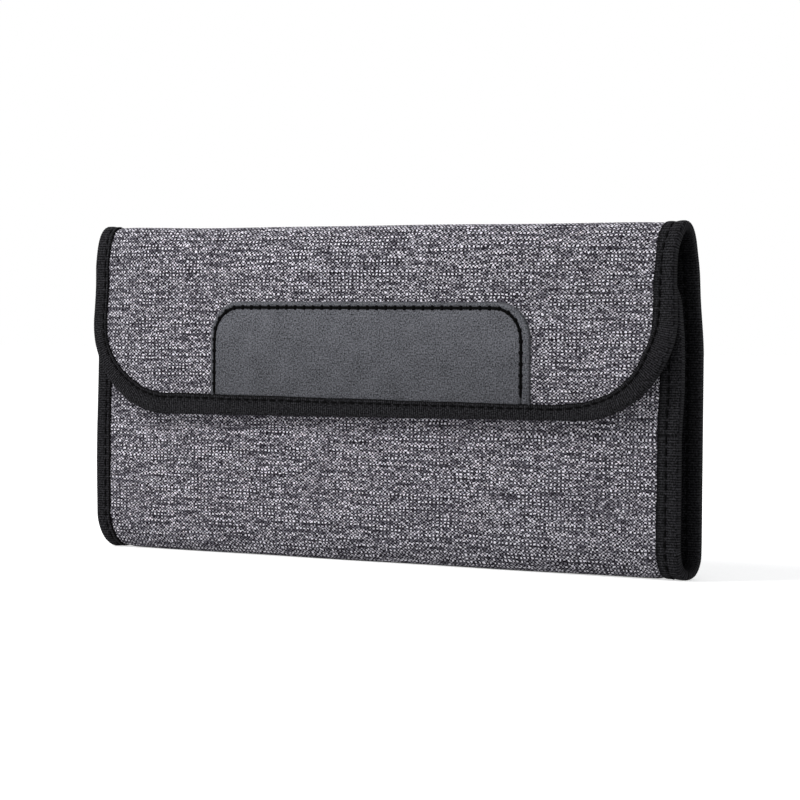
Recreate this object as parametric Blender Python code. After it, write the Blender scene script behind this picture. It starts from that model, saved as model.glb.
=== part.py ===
"""Folded lens filter case: one laminated strip, folded twice, with pockets inside.

The strip runs from the front panel's top edge down to the bottom fold, up the back
panel, over the top fold and down the flap. Each stiff panel is a cover, a board and a
lining. Each fold is a cover and a lining only, so it bends. Tape is folded round every
raw edge. The front faces -Y, +Z is up, and the origin is under the middle of the case.
"""
import math

import bmesh
import bpy
from mathutils import Vector

# Overall size and the depth that one filled pocket takes
WIDTH = 0.242
HEIGHT = 0.116
POCKET_DEPTH = 0.0042

# Cloth, board and tape thicknesses, and the gap kept between touching pieces
COVER_THICK = 0.0005
BOARD_THICK = 0.0008
LINING_THICK = 0.0004
TAPE_THICK = 0.0004
POCKET_THICK = 0.00045
HOOK_THICK = 0.00045
LOOP_THICK = 0.0004
PATCH_THICK = 0.0007
PLY_GAP = 0.00025
SEAT_GAP = 0.0003

# Edge tape: width of one face, and how far the board stops short of the raw edge
TAPE_FACE = 0.0062
BOARD_INSET = 0.0026

# Panels: heights below the top of the case, and corner radii
FLAP_DROP = 0.0657
FLAP_CORNER = 0.031
FRONT_DROP = 0.0155
FRONT_CORNER = 0.012

# Top fold: where it leaves the back, how far its crown leans to the front, its slack
BACK_FOLD_DROP = 0.022
CROWN_LEAN = 0.0012
CROWN_FULLNESS_SHARE = 0.42

# Bottom fold: corner radius and how far it reaches up the front and the back
FOOT_RADIUS = 0.0022
FRONT_FOOT_RISE = 0.0053
BACK_FOOT_RISE = 0.0038

# Leather patch on the flap
PATCH_WIDTH = 0.1325
PATCH_RISE = 0.0331
PATCH_CORNER = 0.0125

# Hook and loop closure
CLOSURE_WIDTH = 0.120
CLOSURE_HEIGHT = 0.016
CLOSURE_RISE = 0.0015

# Pockets: margins, seams, shoulders and the hem band at the mouth
POCKET_MARGIN = 0.0008
SEAM_FLANGE = 0.0025
SIDE_SHOULDER = 0.0080
FOOT_SHOULDER = 0.0050
POCKET_FOOT_RISE = 0.0022
BAND_HEIGHT = 0.0080
MOUTH_DROP = 0.0078

# Facets: steps round one corner, along one side of a fold, and over a pocket shoulder
CORNER_STEPS = 14
FOLD_STEPS = 12
SHOULDER_STEPS = 5

# Panel and edge thicknesses, and the offsets of the plies from the middle of a panel
PANEL_THICK = COVER_THICK + PLY_GAP + BOARD_THICK + PLY_GAP + LINING_THICK
HALF_PANEL = PANEL_THICK / 2
COVER_PLY = (HALF_PANEL - COVER_THICK, HALF_PANEL)
LINING_PLY = (-HALF_PANEL, LINING_THICK - HALF_PANEL)
BOARD_PLY = (LINING_PLY[1] + PLY_GAP, COVER_PLY[0] - PLY_GAP)
HALF_SLOT = HALF_PANEL + PLY_GAP
HALF_EDGE = HALF_SLOT + TAPE_THICK
TAPE_WEB = TAPE_THICK + PLY_GAP

# Depths: the middle of each panel along Y, front to back
PATCH_FACE = HALF_PANEL + PLY_GAP + PATCH_THICK
FRONT_REACH = max(PATCH_FACE, HALF_EDGE)
FLAP_STACK = 2 * HALF_EDGE + SEAT_GAP
POCKET_STACK = PANEL_THICK + 2 * (POCKET_DEPTH + POCKET_THICK) + SEAT_GAP
DEPTH = FRONT_REACH + FLAP_STACK + POCKET_STACK + HALF_EDGE
FLAP_Y = FRONT_REACH - DEPTH / 2
FRONT_Y = FLAP_Y + FLAP_STACK
BACK_Y = FRONT_Y + POCKET_STACK
CROWN_Y = (FLAP_Y + BACK_Y) / 2 - CROWN_LEAN

# Heights of the fold lines and edges
CROWN_Z = HEIGHT - HALF_EDGE
FLAP_LOW_Z = HEIGHT - FLAP_DROP
FRONT_TOP_Z = HEIGHT - FRONT_DROP
FLAP_TOP_Z = FRONT_TOP_Z + SEAT_GAP
BACK_TOP_Z = HEIGHT - BACK_FOLD_DROP
FOOT_Z = HALF_EDGE
FRONT_LOW_Z = FOOT_Z + FOOT_RADIUS + FRONT_FOOT_RISE
BACK_LOW_Z = FOOT_Z + FOOT_RADIUS + BACK_FOOT_RISE

# Hinge lines: the flap turns at the crown, the front at the front foot corner
FLAP_AXIS = (0, (FLAP_Y + BACK_Y) / 2, CROWN_Z)
FRONT_AXIS = (0, FRONT_Y + FOOT_RADIUS, FOOT_Z + FOOT_RADIUS)

# Colours as red, green and blue, and roughness, for each kind of material
FINISHES = {
    "cover": ((0.182, 0.172, 0.196), 0.88),
    "board": ((0.030, 0.030, 0.032), 0.60),
    "lining": ((0.020, 0.020, 0.022), 0.85),
    "tape": ((0.016, 0.016, 0.018), 0.70),
    "patch": ((0.118, 0.120, 0.132), 0.55),
    "pocket": ((0.028, 0.028, 0.031), 0.80),
    "closure": ((0.012, 0.012, 0.013), 0.92),
}


def clear_scene():
    for thing in list(bpy.data.objects):
        bpy.data.objects.remove(thing, do_unlink=True)


def material(kind):
    """Return the Principled material of this kind, made once."""
    found = bpy.data.materials.get(kind)
    if found:
        return found
    colour, roughness = FINISHES[kind]
    made = bpy.data.materials.new(kind)
    made.use_nodes = True
    shader = made.node_tree.nodes["Principled BSDF"]
    shader.inputs["Base Color"].default_value = (*colour, 1)
    shader.inputs["Roughness"].default_value = roughness
    shader.inputs["Metallic"].default_value = 0
    return made


def add_object(name, mesh_data, kind, pivot=None):
    """Turn a finished bmesh into an object, parented to a hinge line if it moves."""
    bmesh.ops.recalc_face_normals(mesh_data, faces=mesh_data.faces)
    mesh = bpy.data.meshes.new(name)
    mesh_data.to_mesh(mesh)
    mesh_data.free()
    mesh.materials.append(material(kind))
    made = bpy.data.objects.new(name, mesh)
    bpy.context.scene.collection.objects.link(made)
    if pivot:
        mesh.transform(pivot.matrix_world.inverted())
        made.parent = pivot
    return made


def add_pivot(name, place):
    """Add the empty that a moving panel turns with, on its hinge line."""
    pivot = bpy.data.objects.new(name, None)
    pivot.location = place
    bpy.context.scene.collection.objects.link(pivot)
    bpy.context.view_layer.update()
    return pivot


def arc(centre, radius, start, stop, steps=CORNER_STEPS):
    """Points on a circle from one angle to another, in degrees."""
    points = []
    for index in range(steps + 1):
        angle = math.radians(start + (stop - start) * index / steps)
        points.append((centre[0] + radius * math.cos(angle), centre[1] + radius * math.sin(angle)))
    return points


def bezier(first, lift, pull, last, steps=FOLD_STEPS):
    """Points on a cubic curve from first to last."""
    points = []
    for index in range(steps + 1):
        t = index / steps
        r = 1 - t
        weights = (r * r * r, 3 * r * r * t, 3 * r * t * t, t * t * t)
        handles = (first, lift, pull, last)
        across = sum(w * h[0] for w, h in zip(weights, handles))
        up = sum(w * h[1] for w, h in zip(weights, handles))
        points.append((across, up))
    return points


def plate(name, outline, plies, middle, kind, pivot=None):
    """A flat sheet: an outline in X and Z, with its two faces at offsets from the middle.

    Offsets are counted from the middle of the panel towards the outside of the strip,
    which is -Y on the front and the flap and +Y on the back.
    """
    outside = 1 if middle == BACK_Y else -1
    faces_y = [middle + outside * ply for ply in plies]
    shape = bmesh.new()
    rings = [[shape.verts.new((x, y, z)) for x, z in outline] for y in faces_y]
    for ring in rings:
        shape.faces.new(ring)
    count = len(outline)
    for index in range(count):
        after = (index + 1) % count
        shape.faces.new((rings[0][index], rings[0][after], rings[1][after], rings[1][index]))
    return add_object(name, shape, kind, pivot)


def sweep(name, frames, section, kind, pivot=None):
    """A closed solid: a section carried along frames of place, inward and outward."""
    shape = bmesh.new()
    rings = []
    for place, inward, outward in frames:
        ring = [shape.verts.new(place + inward * u + outward * v) for u, v in section]
        rings.append(ring)
    count = len(section)
    for ring, following in zip(rings, rings[1:]):
        for index in range(count):
            after = (index + 1) % count
            shape.faces.new((ring[index], ring[after], following[after], following[index]))
    shape.faces.new(rings[0])
    shape.faces.new(rings[-1])
    return add_object(name, shape, kind, pivot)


def tape_section():
    """The folded tape as a channel: its web round the raw edge and a leg on each face."""
    return [
        (0, -HALF_EDGE),
        (TAPE_FACE, -HALF_EDGE),
        (TAPE_FACE, -HALF_SLOT),
        (TAPE_THICK, -HALF_SLOT),
        (TAPE_THICK, HALF_SLOT),
        (TAPE_FACE, HALF_SLOT),
        (TAPE_FACE, HALF_EDGE),
        (0, HALF_EDGE),
    ]


def panel_outline(low, high, radius, inset, round_top):
    """Outline of a panel, drawn in from its raw edge, with two corners rounded."""
    side = WIDTH / 2 - inset
    bend = radius - inset
    if round_top:
        high = high - inset
        right = arc((side - bend, high - bend), bend, 0, 90)
        left = arc((bend - side, high - bend), bend, 90, 180)
        return [(-side, low), (side, low)] + right + left
    low = low + inset
    left = arc((bend - side, low + bend), bend, 180, 270)
    right = arc((side - bend, low + bend), bend, 270, 360)
    return left + right + [(side, high), (-side, high)]


def panel_edge_frames(low, high, radius, round_top, middle):
    """Frames along the raw edge of a panel with two round corners, side to side."""
    side = WIDTH / 2
    turn = 1 if round_top else -1
    edge = high if round_top else low
    start = low if round_top else high
    spots = [(-side, start, 1, 0)]
    for centre, first, last in ((radius - side, 180, 90), (side - radius, 90, 0)):
        for index in range(CORNER_STEPS + 1):
            angle = math.radians(first + (last - first) * index / CORNER_STEPS)
            across = math.cos(angle)
            up = turn * math.sin(angle)
            spots.append((centre + radius * across, edge - turn * radius + radius * up, -across, -up))
    spots.append((side, start, -1, 0))
    outward = Vector((0, -1, 0))
    return [(Vector((x, middle, z)), Vector((u, 0, w)), outward) for x, z, u, w in spots]


def curve_frames(curve, side):
    """Frames along a fold curve in Y and Z, at the left (-1) or right (1) raw edge."""
    frames = []
    for index, (y, z) in enumerate(curve):
        before = curve[max(index - 1, 0)]
        after = curve[min(index + 1, len(curve) - 1)]
        along = Vector((0, after[0] - before[0], after[1] - before[1])).normalized()
        if index in (0, len(curve) - 1):
            along = Vector((0, 0, 1 if along.z > 0 else -1))
        outward = Vector((0, along.z, -along.y))
        frames.append((Vector((side * WIDTH / 2, y, z)), Vector((-side, 0, 0)), outward))
    return frames


def bottom_curve():
    """Middle of the bottom fold: down the front, round the foot and up the back."""
    front = arc((FRONT_Y + FOOT_RADIUS, FOOT_Z + FOOT_RADIUS), FOOT_RADIUS, 180, 270, FOLD_STEPS)
    back = arc((BACK_Y - FOOT_RADIUS, FOOT_Z + FOOT_RADIUS), FOOT_RADIUS, 270, 360, FOLD_STEPS)
    return [(FRONT_Y, FRONT_LOW_Z)] + front + back + [(BACK_Y, BACK_LOW_Z)]


def top_curve():
    """Middle of the top fold: up from the back, over the crown and down to the flap."""
    sides = []
    for side_y, side_z in ((BACK_Y, BACK_TOP_Z), (FLAP_Y, FLAP_TOP_Z)):
        lift = (side_y, side_z + CROWN_FULLNESS_SHARE * (CROWN_Z - side_z))
        pull = (CROWN_Y + CROWN_FULLNESS_SHARE * (side_y - CROWN_Y), CROWN_Z)
        sides.append(bezier((side_y, side_z), lift, pull, (CROWN_Y, CROWN_Z)))
    return sides[0] + sides[1][-2::-1]


def cloth_section(plies, inset):
    """Section of a cloth ply that crosses a fold, from raw edge to raw edge."""
    return [(inset, plies[0]), (WIDTH - inset, plies[0]), (WIDTH - inset, plies[1]), (inset, plies[1])]


def add_fold(prefix, curve):
    """Cover, lining and the two edge tapes of one fold."""
    frames = curve_frames(curve, -1)
    sweep(prefix + "_cover", frames, cloth_section(COVER_PLY, TAPE_WEB), "cover")
    sweep(prefix + "_lining", frames, cloth_section(LINING_PLY, TAPE_WEB), "lining")
    for word, side in (("left", -1), ("right", 1)):
        sweep(prefix + "_binding_" + word, curve_frames(curve, side), tape_section(), "tape")


def add_panel(prefix, low, high, radius, round_top, middle, pivot):
    """Cover, board, lining and edge tape of the flap or the front panel."""
    near = SEAT_GAP / 2
    ends = (low + near, high) if round_top else (low, high - near)
    raw = panel_outline(*ends, radius, TAPE_WEB, round_top)
    core_ends = (ends[0] + BOARD_INSET, high) if round_top else (low, ends[1] - BOARD_INSET)
    core = panel_outline(*core_ends, radius, TAPE_WEB + BOARD_INSET, round_top)
    plate(prefix + "_cover", raw, COVER_PLY, middle, "cover", pivot)
    plate(prefix + "_board", core, BOARD_PLY, middle, "board", pivot)
    plate(prefix + "_lining", raw, LINING_PLY, middle, "lining", pivot)
    frames = panel_edge_frames(*ends, radius, round_top, middle)
    sweep(prefix + "_binding", frames, tape_section(), "tape", pivot)


def box_outline(left, right, low, high):
    return [(left, low), (right, low), (right, high), (left, high)]


def add_back():
    """The back panel: cover, board, lining and a straight tape on each side."""
    low = BACK_LOW_Z + SEAT_GAP / 2
    high = BACK_TOP_Z - SEAT_GAP / 2
    side = WIDTH / 2 - TAPE_WEB
    core = side - BOARD_INSET
    plate("back_cover", box_outline(-side, side, low, high), COVER_PLY, BACK_Y, "cover")
    plate("back_lining", box_outline(-side, side, low, high), LINING_PLY, BACK_Y, "lining")
    core_box = box_outline(-core, core, low + BOARD_INSET, high - BOARD_INSET)
    plate("back_board", core_box, BOARD_PLY, BACK_Y, "board")
    for word, hand in (("left", -1), ("right", 1)):
        inward = Vector((-hand, 0, 0))
        outward = Vector((0, 1, 0))
        frames = [(Vector((hand * WIDTH / 2, BACK_Y, z)), inward, outward) for z in (low, high)]
        sweep("back_binding_" + word, frames, tape_section(), "tape")


def add_patch(pivot):
    """The leather patch: round at its top corners, its foot against the flap's tape."""
    low = FLAP_LOW_Z + TAPE_FACE + SEAT_GAP
    high = FLAP_LOW_Z + TAPE_FACE + PATCH_RISE
    side = PATCH_WIDTH / 2
    bend = PATCH_CORNER
    right = arc((side - bend, high - bend), bend, 0, 90)
    left = arc((bend - side, high - bend), bend, 90, 180)
    plies = (HALF_PANEL + PLY_GAP, PATCH_FACE)
    plate("leather_patch", [(-side, low), (side, low)] + right + left, plies, FLAP_Y, "patch", pivot)


def add_closure(flap_pivot, front_pivot):
    """The hook tape inside the flap and the loop tape that it meets on the front."""
    low = FLAP_LOW_Z + TAPE_FACE + CLOSURE_RISE
    box = box_outline(-CLOSURE_WIDTH / 2, CLOSURE_WIDTH / 2, low, low + CLOSURE_HEIGHT)
    hook = (-HALF_PANEL - PLY_GAP - HOOK_THICK, -HALF_PANEL - PLY_GAP)
    loop = (HALF_PANEL + PLY_GAP, HALF_PANEL + PLY_GAP + LOOP_THICK)
    plate("hook_tape", box, hook, FLAP_Y, "closure", flap_pivot)
    plate("loop_tape", box, loop, FRONT_Y, "closure", front_pivot)


def ease(value):
    """Smooth rise from 0 to 1."""
    t = min(max(value, 0), 1)
    return t * t * (3 - 2 * t)


def spaced(start, flange, shoulder, end, both_sides):
    """Grid lines: a flat flange, a finely cut shoulder, then the flat middle."""
    inner = start + flange
    lines = [start] + [inner + shoulder * index / SHOULDER_STEPS for index in range(SHOULDER_STEPS + 1)]
    if not both_sides:
        return lines + [end]
    return lines + [start + end - line for line in reversed(lines)]


def add_pocket(name, left, right, low, high, middle, inside, pivot):
    """A slack cloth pocket: sewn flat at its sides and foot, bulged out to the middle."""
    face = middle + inside * HALF_PANEL
    columns = spaced(left, SEAM_FLANGE, SIDE_SHOULDER, right, True)
    rows = spaced(low, SEAM_FLANGE, FOOT_SHOULDER, high, False)
    shape = bmesh.new()
    skins = []
    for extra in (0, POCKET_THICK):
        grid = []
        for z in rows:
            line = []
            for x in columns:
                reach = min(x - left, right - x) - SEAM_FLANGE
                share = ease(reach / SIDE_SHOULDER) * ease((z - low - SEAM_FLANGE) / FOOT_SHOULDER)
                rise = SEAT_GAP + (POCKET_DEPTH - SEAT_GAP) * share + extra
                line.append(shape.verts.new((x, face + inside * rise, z)))
            grid.append(line)
        skins.append(grid)
    inner, outer = skins
    for grid in skins:
        for line, above in zip(grid, grid[1:]):
            for index in range(len(columns) - 1):
                shape.faces.new((line[index], line[index + 1], above[index + 1], above[index]))
    for row in (0, len(rows) - 1):
        for index in range(len(columns) - 1):
            corners = (inner[row][index], inner[row][index + 1], outer[row][index + 1], outer[row][index])
            shape.faces.new(corners)
    for column in (0, len(columns) - 1):
        for row in range(len(rows) - 1):
            edge = (inner[row][column], inner[row + 1][column], outer[row + 1][column], outer[row][column])
            shape.faces.new(edge)
    add_object(name, shape, "pocket", pivot)
    band_sides = (left + SEAM_FLANGE + SIDE_SHOULDER, right - SEAM_FLANGE - SIDE_SHOULDER)
    band = box_outline(*band_sides, high + SEAT_GAP, high + SEAT_GAP + BAND_HEIGHT)
    reach = HALF_PANEL + POCKET_DEPTH
    plies = (-reach - POCKET_THICK, -reach)
    plate(name + "_band", band, plies, middle, "tape", pivot)


def add_pockets(panel, low_edge, middle, inside, pivot):
    """Two pockets side by side on the inside of one panel."""
    outer = WIDTH / 2 - TAPE_FACE - POCKET_MARGIN
    seam = SEAT_GAP / 2
    low = low_edge + POCKET_FOOT_RISE
    high = FRONT_TOP_Z - MOUTH_DROP - BAND_HEIGHT - SEAT_GAP
    for word, left, right in (("left", -outer, -seam), ("right", seam, outer)):
        add_pocket(panel + "_pocket_" + word, left, right, low, high, middle, inside, pivot)


def build():
    clear_scene()
    flap_pivot = add_pivot("flap_hinge_line", FLAP_AXIS)
    front_pivot = add_pivot("front_hinge_line", FRONT_AXIS)
    add_panel("flap", FLAP_LOW_Z, FLAP_TOP_Z, FLAP_CORNER, False, FLAP_Y, flap_pivot)
    add_panel("front", FRONT_LOW_Z, FRONT_TOP_Z, FRONT_CORNER, True, FRONT_Y, front_pivot)
    add_back()
    add_fold("top_fold", top_curve())
    add_fold("bottom_fold", bottom_curve())
    add_patch(flap_pivot)
    add_closure(flap_pivot, front_pivot)
    add_pockets("front", FRONT_LOW_Z, FRONT_Y, 1, front_pivot)
    add_pockets("back", BACK_LOW_Z, BACK_Y, -1, None)


build()
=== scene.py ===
"""Looks of a folded lens filter case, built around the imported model.

Woven cover, lining, ribbed edge tape, leather patch, thread, closure tapes and pockets
are numpy surfaces on one strip line: the middle of the cloth strip that the case is
folded from, from the front panel's top edge to the flap's lower edge.
"""
import math

import bpy
import numpy as np
from mathutils import Matrix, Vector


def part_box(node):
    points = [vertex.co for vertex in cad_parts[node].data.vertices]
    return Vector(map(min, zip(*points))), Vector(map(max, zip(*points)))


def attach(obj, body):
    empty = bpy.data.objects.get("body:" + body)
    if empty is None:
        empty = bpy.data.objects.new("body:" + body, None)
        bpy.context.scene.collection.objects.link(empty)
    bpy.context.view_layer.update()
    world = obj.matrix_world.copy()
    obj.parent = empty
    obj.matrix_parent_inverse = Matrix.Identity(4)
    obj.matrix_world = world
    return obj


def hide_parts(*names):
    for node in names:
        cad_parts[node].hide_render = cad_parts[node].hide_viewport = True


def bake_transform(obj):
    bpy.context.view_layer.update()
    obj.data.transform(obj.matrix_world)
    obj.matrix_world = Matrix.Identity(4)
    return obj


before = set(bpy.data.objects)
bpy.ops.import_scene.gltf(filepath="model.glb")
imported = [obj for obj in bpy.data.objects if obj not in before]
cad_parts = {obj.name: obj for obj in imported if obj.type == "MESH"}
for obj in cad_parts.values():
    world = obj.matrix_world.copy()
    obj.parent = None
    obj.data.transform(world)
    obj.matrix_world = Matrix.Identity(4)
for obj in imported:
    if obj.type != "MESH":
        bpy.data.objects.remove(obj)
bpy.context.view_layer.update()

bl_info = {
    "name": "Filter case looks",
    "version": (1, 0, 0),
    "blender": (4, 5, 0),
    "location": "View3D > Sidebar > Case",
    "description": "Builds the cloth, tape, leather, thread and pockets of a folded filter case",
    "category": "Object",
}

FLAP_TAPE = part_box("flap_binding")
FRONT_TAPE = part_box("front_binding")
BACK_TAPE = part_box("back_binding_left")
PATCH_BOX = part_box("leather_patch")
HOOK_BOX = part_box("hook_tape")
LOOP_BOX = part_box("loop_tape")

WIDTH = FLAP_TAPE[1].x - FLAP_TAPE[0].x
EDGE = (FLAP_TAPE[1].y - FLAP_TAPE[0].y) / 2
FLAP_Y = (FLAP_TAPE[0].y + FLAP_TAPE[1].y) / 2
FRONT_Y = (FRONT_TAPE[0].y + FRONT_TAPE[1].y) / 2
BACK_Y = (BACK_TAPE[0].y + BACK_TAPE[1].y) / 2
PLY = FLAP_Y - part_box("flap_cover")[0].y
FLAP_LOW = FLAP_TAPE[0].z
FLAP_TOP = FLAP_TAPE[1].z
FRONT_TOP = FRONT_TAPE[1].z
FRONT_LOW = FRONT_TAPE[0].z
BACK_LOW = BACK_TAPE[0].z
BACK_TOP = BACK_TAPE[1].z
CROWN_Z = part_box("top_fold_binding_left")[1].z - EDGE
FOOT_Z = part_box("bottom_fold_binding_left")[0].z + EDGE
PATCH_FACE = FLAP_Y - PATCH_BOX[0].y

MM = 0.001
STITCH = 3.75 * MM
CLOTH_INSET = 2.2 * MM
BOARD_INSET = 2.8 * MM
SEED = 7

# How the sewn case departs from its flat layout: the start and the reach of each eased
# change along x or z. A negative reach counts down from the start.
NECK_Z = (72 * MM, 25 * MM)
CROWN_Z_END = (104 * MM, 12 * MM)
CROWN_RISE_Z = (97 * MM, 19 * MM)
CROWN_LIFT_X = (-60 * MM, -61 * MM)
DRAWN_X = (90 * MM, 31 * MM)
SAG_Z = (5 * MM, -3 * MM)
SAG_X = (113 * MM, -4 * MM)
BELLY_X = (-90 * MM, -31 * MM)
CORNER_UP_Z = (101 * MM, -25 * MM)
CORNER_UP_X = (82 * MM, 20 * MM)
CORNER_OFF_Z = (93 * MM, -26 * MM)
CORNER_OFF_X = (76 * MM, 32 * MM)
NARROW_TOP_Z = (101 * MM, -10 * MM)
NARROW_FOOT_Z = (64 * MM, -20 * MM)
NARROW_X = (98 * MM, 14 * MM)

# The same for the width of the edge tape's face and for the place of its thread.
LOW_EDGE_Z = (FLAP_LOW + 20 * MM, -20 * MM)
BEHIND_Y = (FLAP_Y, 3 * MM)
WIDE_X = (106 * MM, 15 * MM)
SPREAD_X = (75 * MM, 20 * MM)
SPREAD_Z = (106 * MM, -24 * MM)
SPREAD_MORE_X = (121 * MM, -16 * MM)
THREAD_IN_X = (112 * MM, 9 * MM)
THREAD_IN_Z = (70 * MM, 20 * MM)


def length(name, description, default):
    """A size property in metres."""
    return bpy.props.FloatProperty(name=name, description=description, default=default, unit="LENGTH")


def colour(name, description, default):
    """A linear colour property."""
    return bpy.props.FloatVectorProperty(
        name=name, description=description, default=default, size=3, subtype="COLOR", min=0, max=1
    )


def factor(name, description, default):
    """A plain factor property."""
    return bpy.props.FloatProperty(name=name, description=description, default=default)


class CaseSizes(bpy.types.PropertyGroup):
    """Sizes of the case that the frame doesn't give by itself."""

    front_foot: length("Front foot", "Height over which the front panel curves into the fold", 0.0102)
    back_foot: length("Back foot", "Height over which the back panel curves into the bottom fold", 0.0060)
    crown_lean: length("Crown lean", "How far the top fold's crown lies in front of the middle", 0.0012)
    crown_fullness: factor("Crown fullness", "How square the top fold is, from 0 to 1", 0.50)
    crown_draw: length("Crown draw", "How far the strip's ends are drawn in below the top fold", 0.0015)
    crown_lift: length("Crown lift", "How far the top fold rises at its left end", 0.0005)
    crown_rise: length("Crown rise", "How far the top fold stands over its flat place", 0.00025)
    foot_draw: length("Foot draw", "How far the strip's left end is drawn in at the bottom fold", 0.0020)
    foot_sag: length("Foot sag", "How far the bottom fold sags between the tapes", 0.00045)
    front_belly: length("Front belly", "How far the front's left edge is drawn out", 0.0008)
    front_narrow: length("Front narrowing", "How far the front's top right edge is drawn in", 0.00045)
    foot_narrow: length("Foot narrowing", "How much more it is drawn in over its lower half", 0.00085)
    flap_corner: length("Flap corner", "Radius of the flap's lower corners", 0.034)
    front_corner: length("Front corner", "Radius of the front panel's top corners", 0.012)
    flap_sweep: length("Flap sweep", "How far the flap's right corner is drawn up", 0.0009)
    flap_lift: length("Flap lift", "How far the flap's right corner stands off the front", 0.0023)
    flap_drop: length("Flap drop", "How far the flap's lower edge hangs below its flat place", 0.00015)
    flap_skew: factor("Flap skew", "Rise of the flap's lower edge for each metre to the right", 0.0095)
    cloth: length("Cloth", "Thickness of the cover cloth", 0.0005)
    lining: length("Lining", "Thickness of the lining cloth", 0.0004)
    tape_face: length("Tape face", "Width of one face of the folded edge tape", 0.0062)
    tape_spread: length("Tape spread", "Extra width of the tape round the flap's right corner", 0.0012)
    tape_spread_low: length("Low tape spread", "How much more it is at the foot of that corner", 0.0007)
    tape_right: length("Tape at right", "Extra width of the tape's face up the right end", 0.0016)
    tape_drift: factor("Tape drift", "Loss of the flap tape's face for each metre to the right", 0.015)
    dimple: length("Dimple", "Depth of the tape at the end of a stitch", 0.00012)
    rib: length("Rib", "Pitch of the tape's ribs", 0.00084)
    rib_height: length("Rib height", "Depth of the tape's ribs", 0.00006)
    stitch: length("Stitch", "Pitch of the lockstitch", STITCH)
    stitch_inset: length("Stitch inset", "Distance of the thread from the tape's inner edge", 0.0014)
    thread: length("Thread", "Diameter of the sewing thread", 0.00060)
    patch_lift: length("Patch lift", "How far the tape and its thread rise over the patch's foot", 0.0006)
    patch_corner: length("Patch corner", "Radius of the patch's top corners", 0.0125)
    patch_left: length("Patch left margin", "Leather outside the stitch groove at the left", 0.0018)
    patch_right: length("Patch right margin", "Leather outside the stitch groove at the right", 0.0035)
    patch_top: length("Patch top margin", "Leather outside the stitch groove at the top", 0.0020)
    warp: length("Warp", "Pitch of the cover's upright yarns", 0.00077)
    weft: length("Weft", "Pitch of the cover's level yarns", 0.000555)
    pocket_depth: length("Pocket depth", "Room inside a filled pocket", 0.0042)


class CaseColours(bpy.types.PropertyGroup):
    """Colours of the case, linear."""

    yarn_light: colour("Light yarn", "Lightest yarn of the cover", (0.95, 0.925, 1.0))
    yarn_middle: colour("Middle yarn", "Middle yarn of the cover", (0.150, 0.143, 0.171))
    yarn_dark: colour("Dark yarn", "Darkest yarn of the cover", (0.012, 0.010, 0.014))
    leather: colour("Leather", "Face of the patch", (0.1045, 0.1065, 0.119))
    tape: colour("Tape", "Edge tape", (0.0186, 0.0183, 0.0202))
    thread: colour("Thread", "Sewing thread", (0.0020, 0.0020, 0.0022))
    lining: colour("Lining", "Lining cloth", (0.007, 0.007, 0.0077))
    pocket: colour("Pocket", "Pocket cloth", (0.030, 0.030, 0.033))
    closure: colour("Closure", "Hook-and-loop tape", (0.010, 0.010, 0.011))
    board: colour("Board", "Stiffener board", (0.030, 0.030, 0.032))
    floor: colour("Floor", "Floor of the stage", (0.86, 0.86, 0.86))


def ease(t):
    """Smooth rise from 0 to 1: 3t^2 - 2t^3, with t held between 0 and 1."""
    t = np.clip(t, 0, 1)
    return t * t * (3 - 2 * t)


def ramp(value, start, reach):
    """Eased share of the way that a value has gone from a start over a reach."""
    return ease((value - start) / reach)


def bell(x, width):
    """Gaussian bump: exp(-(x/width)^2)."""
    return np.exp(-np.square(x / width))


def strip_line(size):
    """Middle line of the strip in Y and Z against its arc length.

    Straight down the front, a quarter ellipse at each side of the foot, straight up the
    back, two cubic curves over the crown and straight down the flap. The outward normal
    is the tangent turned a quarter: (tz, -ty).
    """
    turn = np.linspace(0, math.pi / 2, 40)
    r = (BACK_Y - FRONT_Y) / 2
    front_foot = (FRONT_Y + r - r * np.cos(turn), FOOT_Z + size.front_foot * (1 - np.sin(turn)))
    back_foot = (BACK_Y - r + r * np.sin(turn), FOOT_Z + size.back_foot * (1 - np.cos(turn)))
    crown_y = (FLAP_Y + BACK_Y) / 2 - size.crown_lean

    def climb(side_y, side_z):
        """Cubic from (side_y, side_z), upright, to the crown, level."""
        t = np.linspace(0, 1, 160)
        lift = side_z + size.crown_fullness * (CROWN_Z - side_z)
        pull = crown_y + size.crown_fullness * (side_y - crown_y)
        w = ((1 - t) ** 3, 3 * (1 - t) ** 2 * t, 3 * (1 - t) * t * t, t**3)
        y = w[0] * side_y + w[1] * side_y + w[2] * pull + w[3] * crown_y
        z = w[0] * side_z + w[1] * lift + w[2] * CROWN_Z + w[3] * CROWN_Z
        return y, z

    back_side = climb(BACK_Y, BACK_TOP)
    flap_side = climb(FLAP_Y, FLAP_TOP)
    back_foot, flap_side = [v[1:] for v in back_foot], [v[-2::-1] for v in flap_side]
    y = np.concatenate([[FRONT_Y], front_foot[0], back_foot[0], back_side[0], flap_side[0], [FLAP_Y]])
    z = np.concatenate([[FRONT_TOP], front_foot[1], back_foot[1], back_side[1], flap_side[1], [FLAP_LOW]])
    s = np.concatenate([[0], np.cumsum(np.hypot(np.diff(y), np.diff(z)))])
    fine = np.linspace(0, s[-1], 4000)
    y, z = np.interp(fine, s, y), np.interp(fine, s, z)
    ty, tz = np.gradient(y, fine), np.gradient(z, fine)
    scale = np.hypot(ty, tz)
    split = s[2 * len(turn)] - (BACK_TOP - BACK_LOW) / 2
    return {"s": fine, "y": y, "z": z, "ny": tz / scale, "nz": -ty / scale, "split": split, "end": s[-1]}


def on_line(line, s):
    """Place and outward normal of the strip line at arc lengths s, each as (y, z)."""
    y, z, ny, nz = (np.interp(s, line["s"], line[key]) for key in ("y", "z", "ny", "nz"))
    scale = np.hypot(ny, nz)
    return y, z, ny / scale, nz / scale


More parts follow.
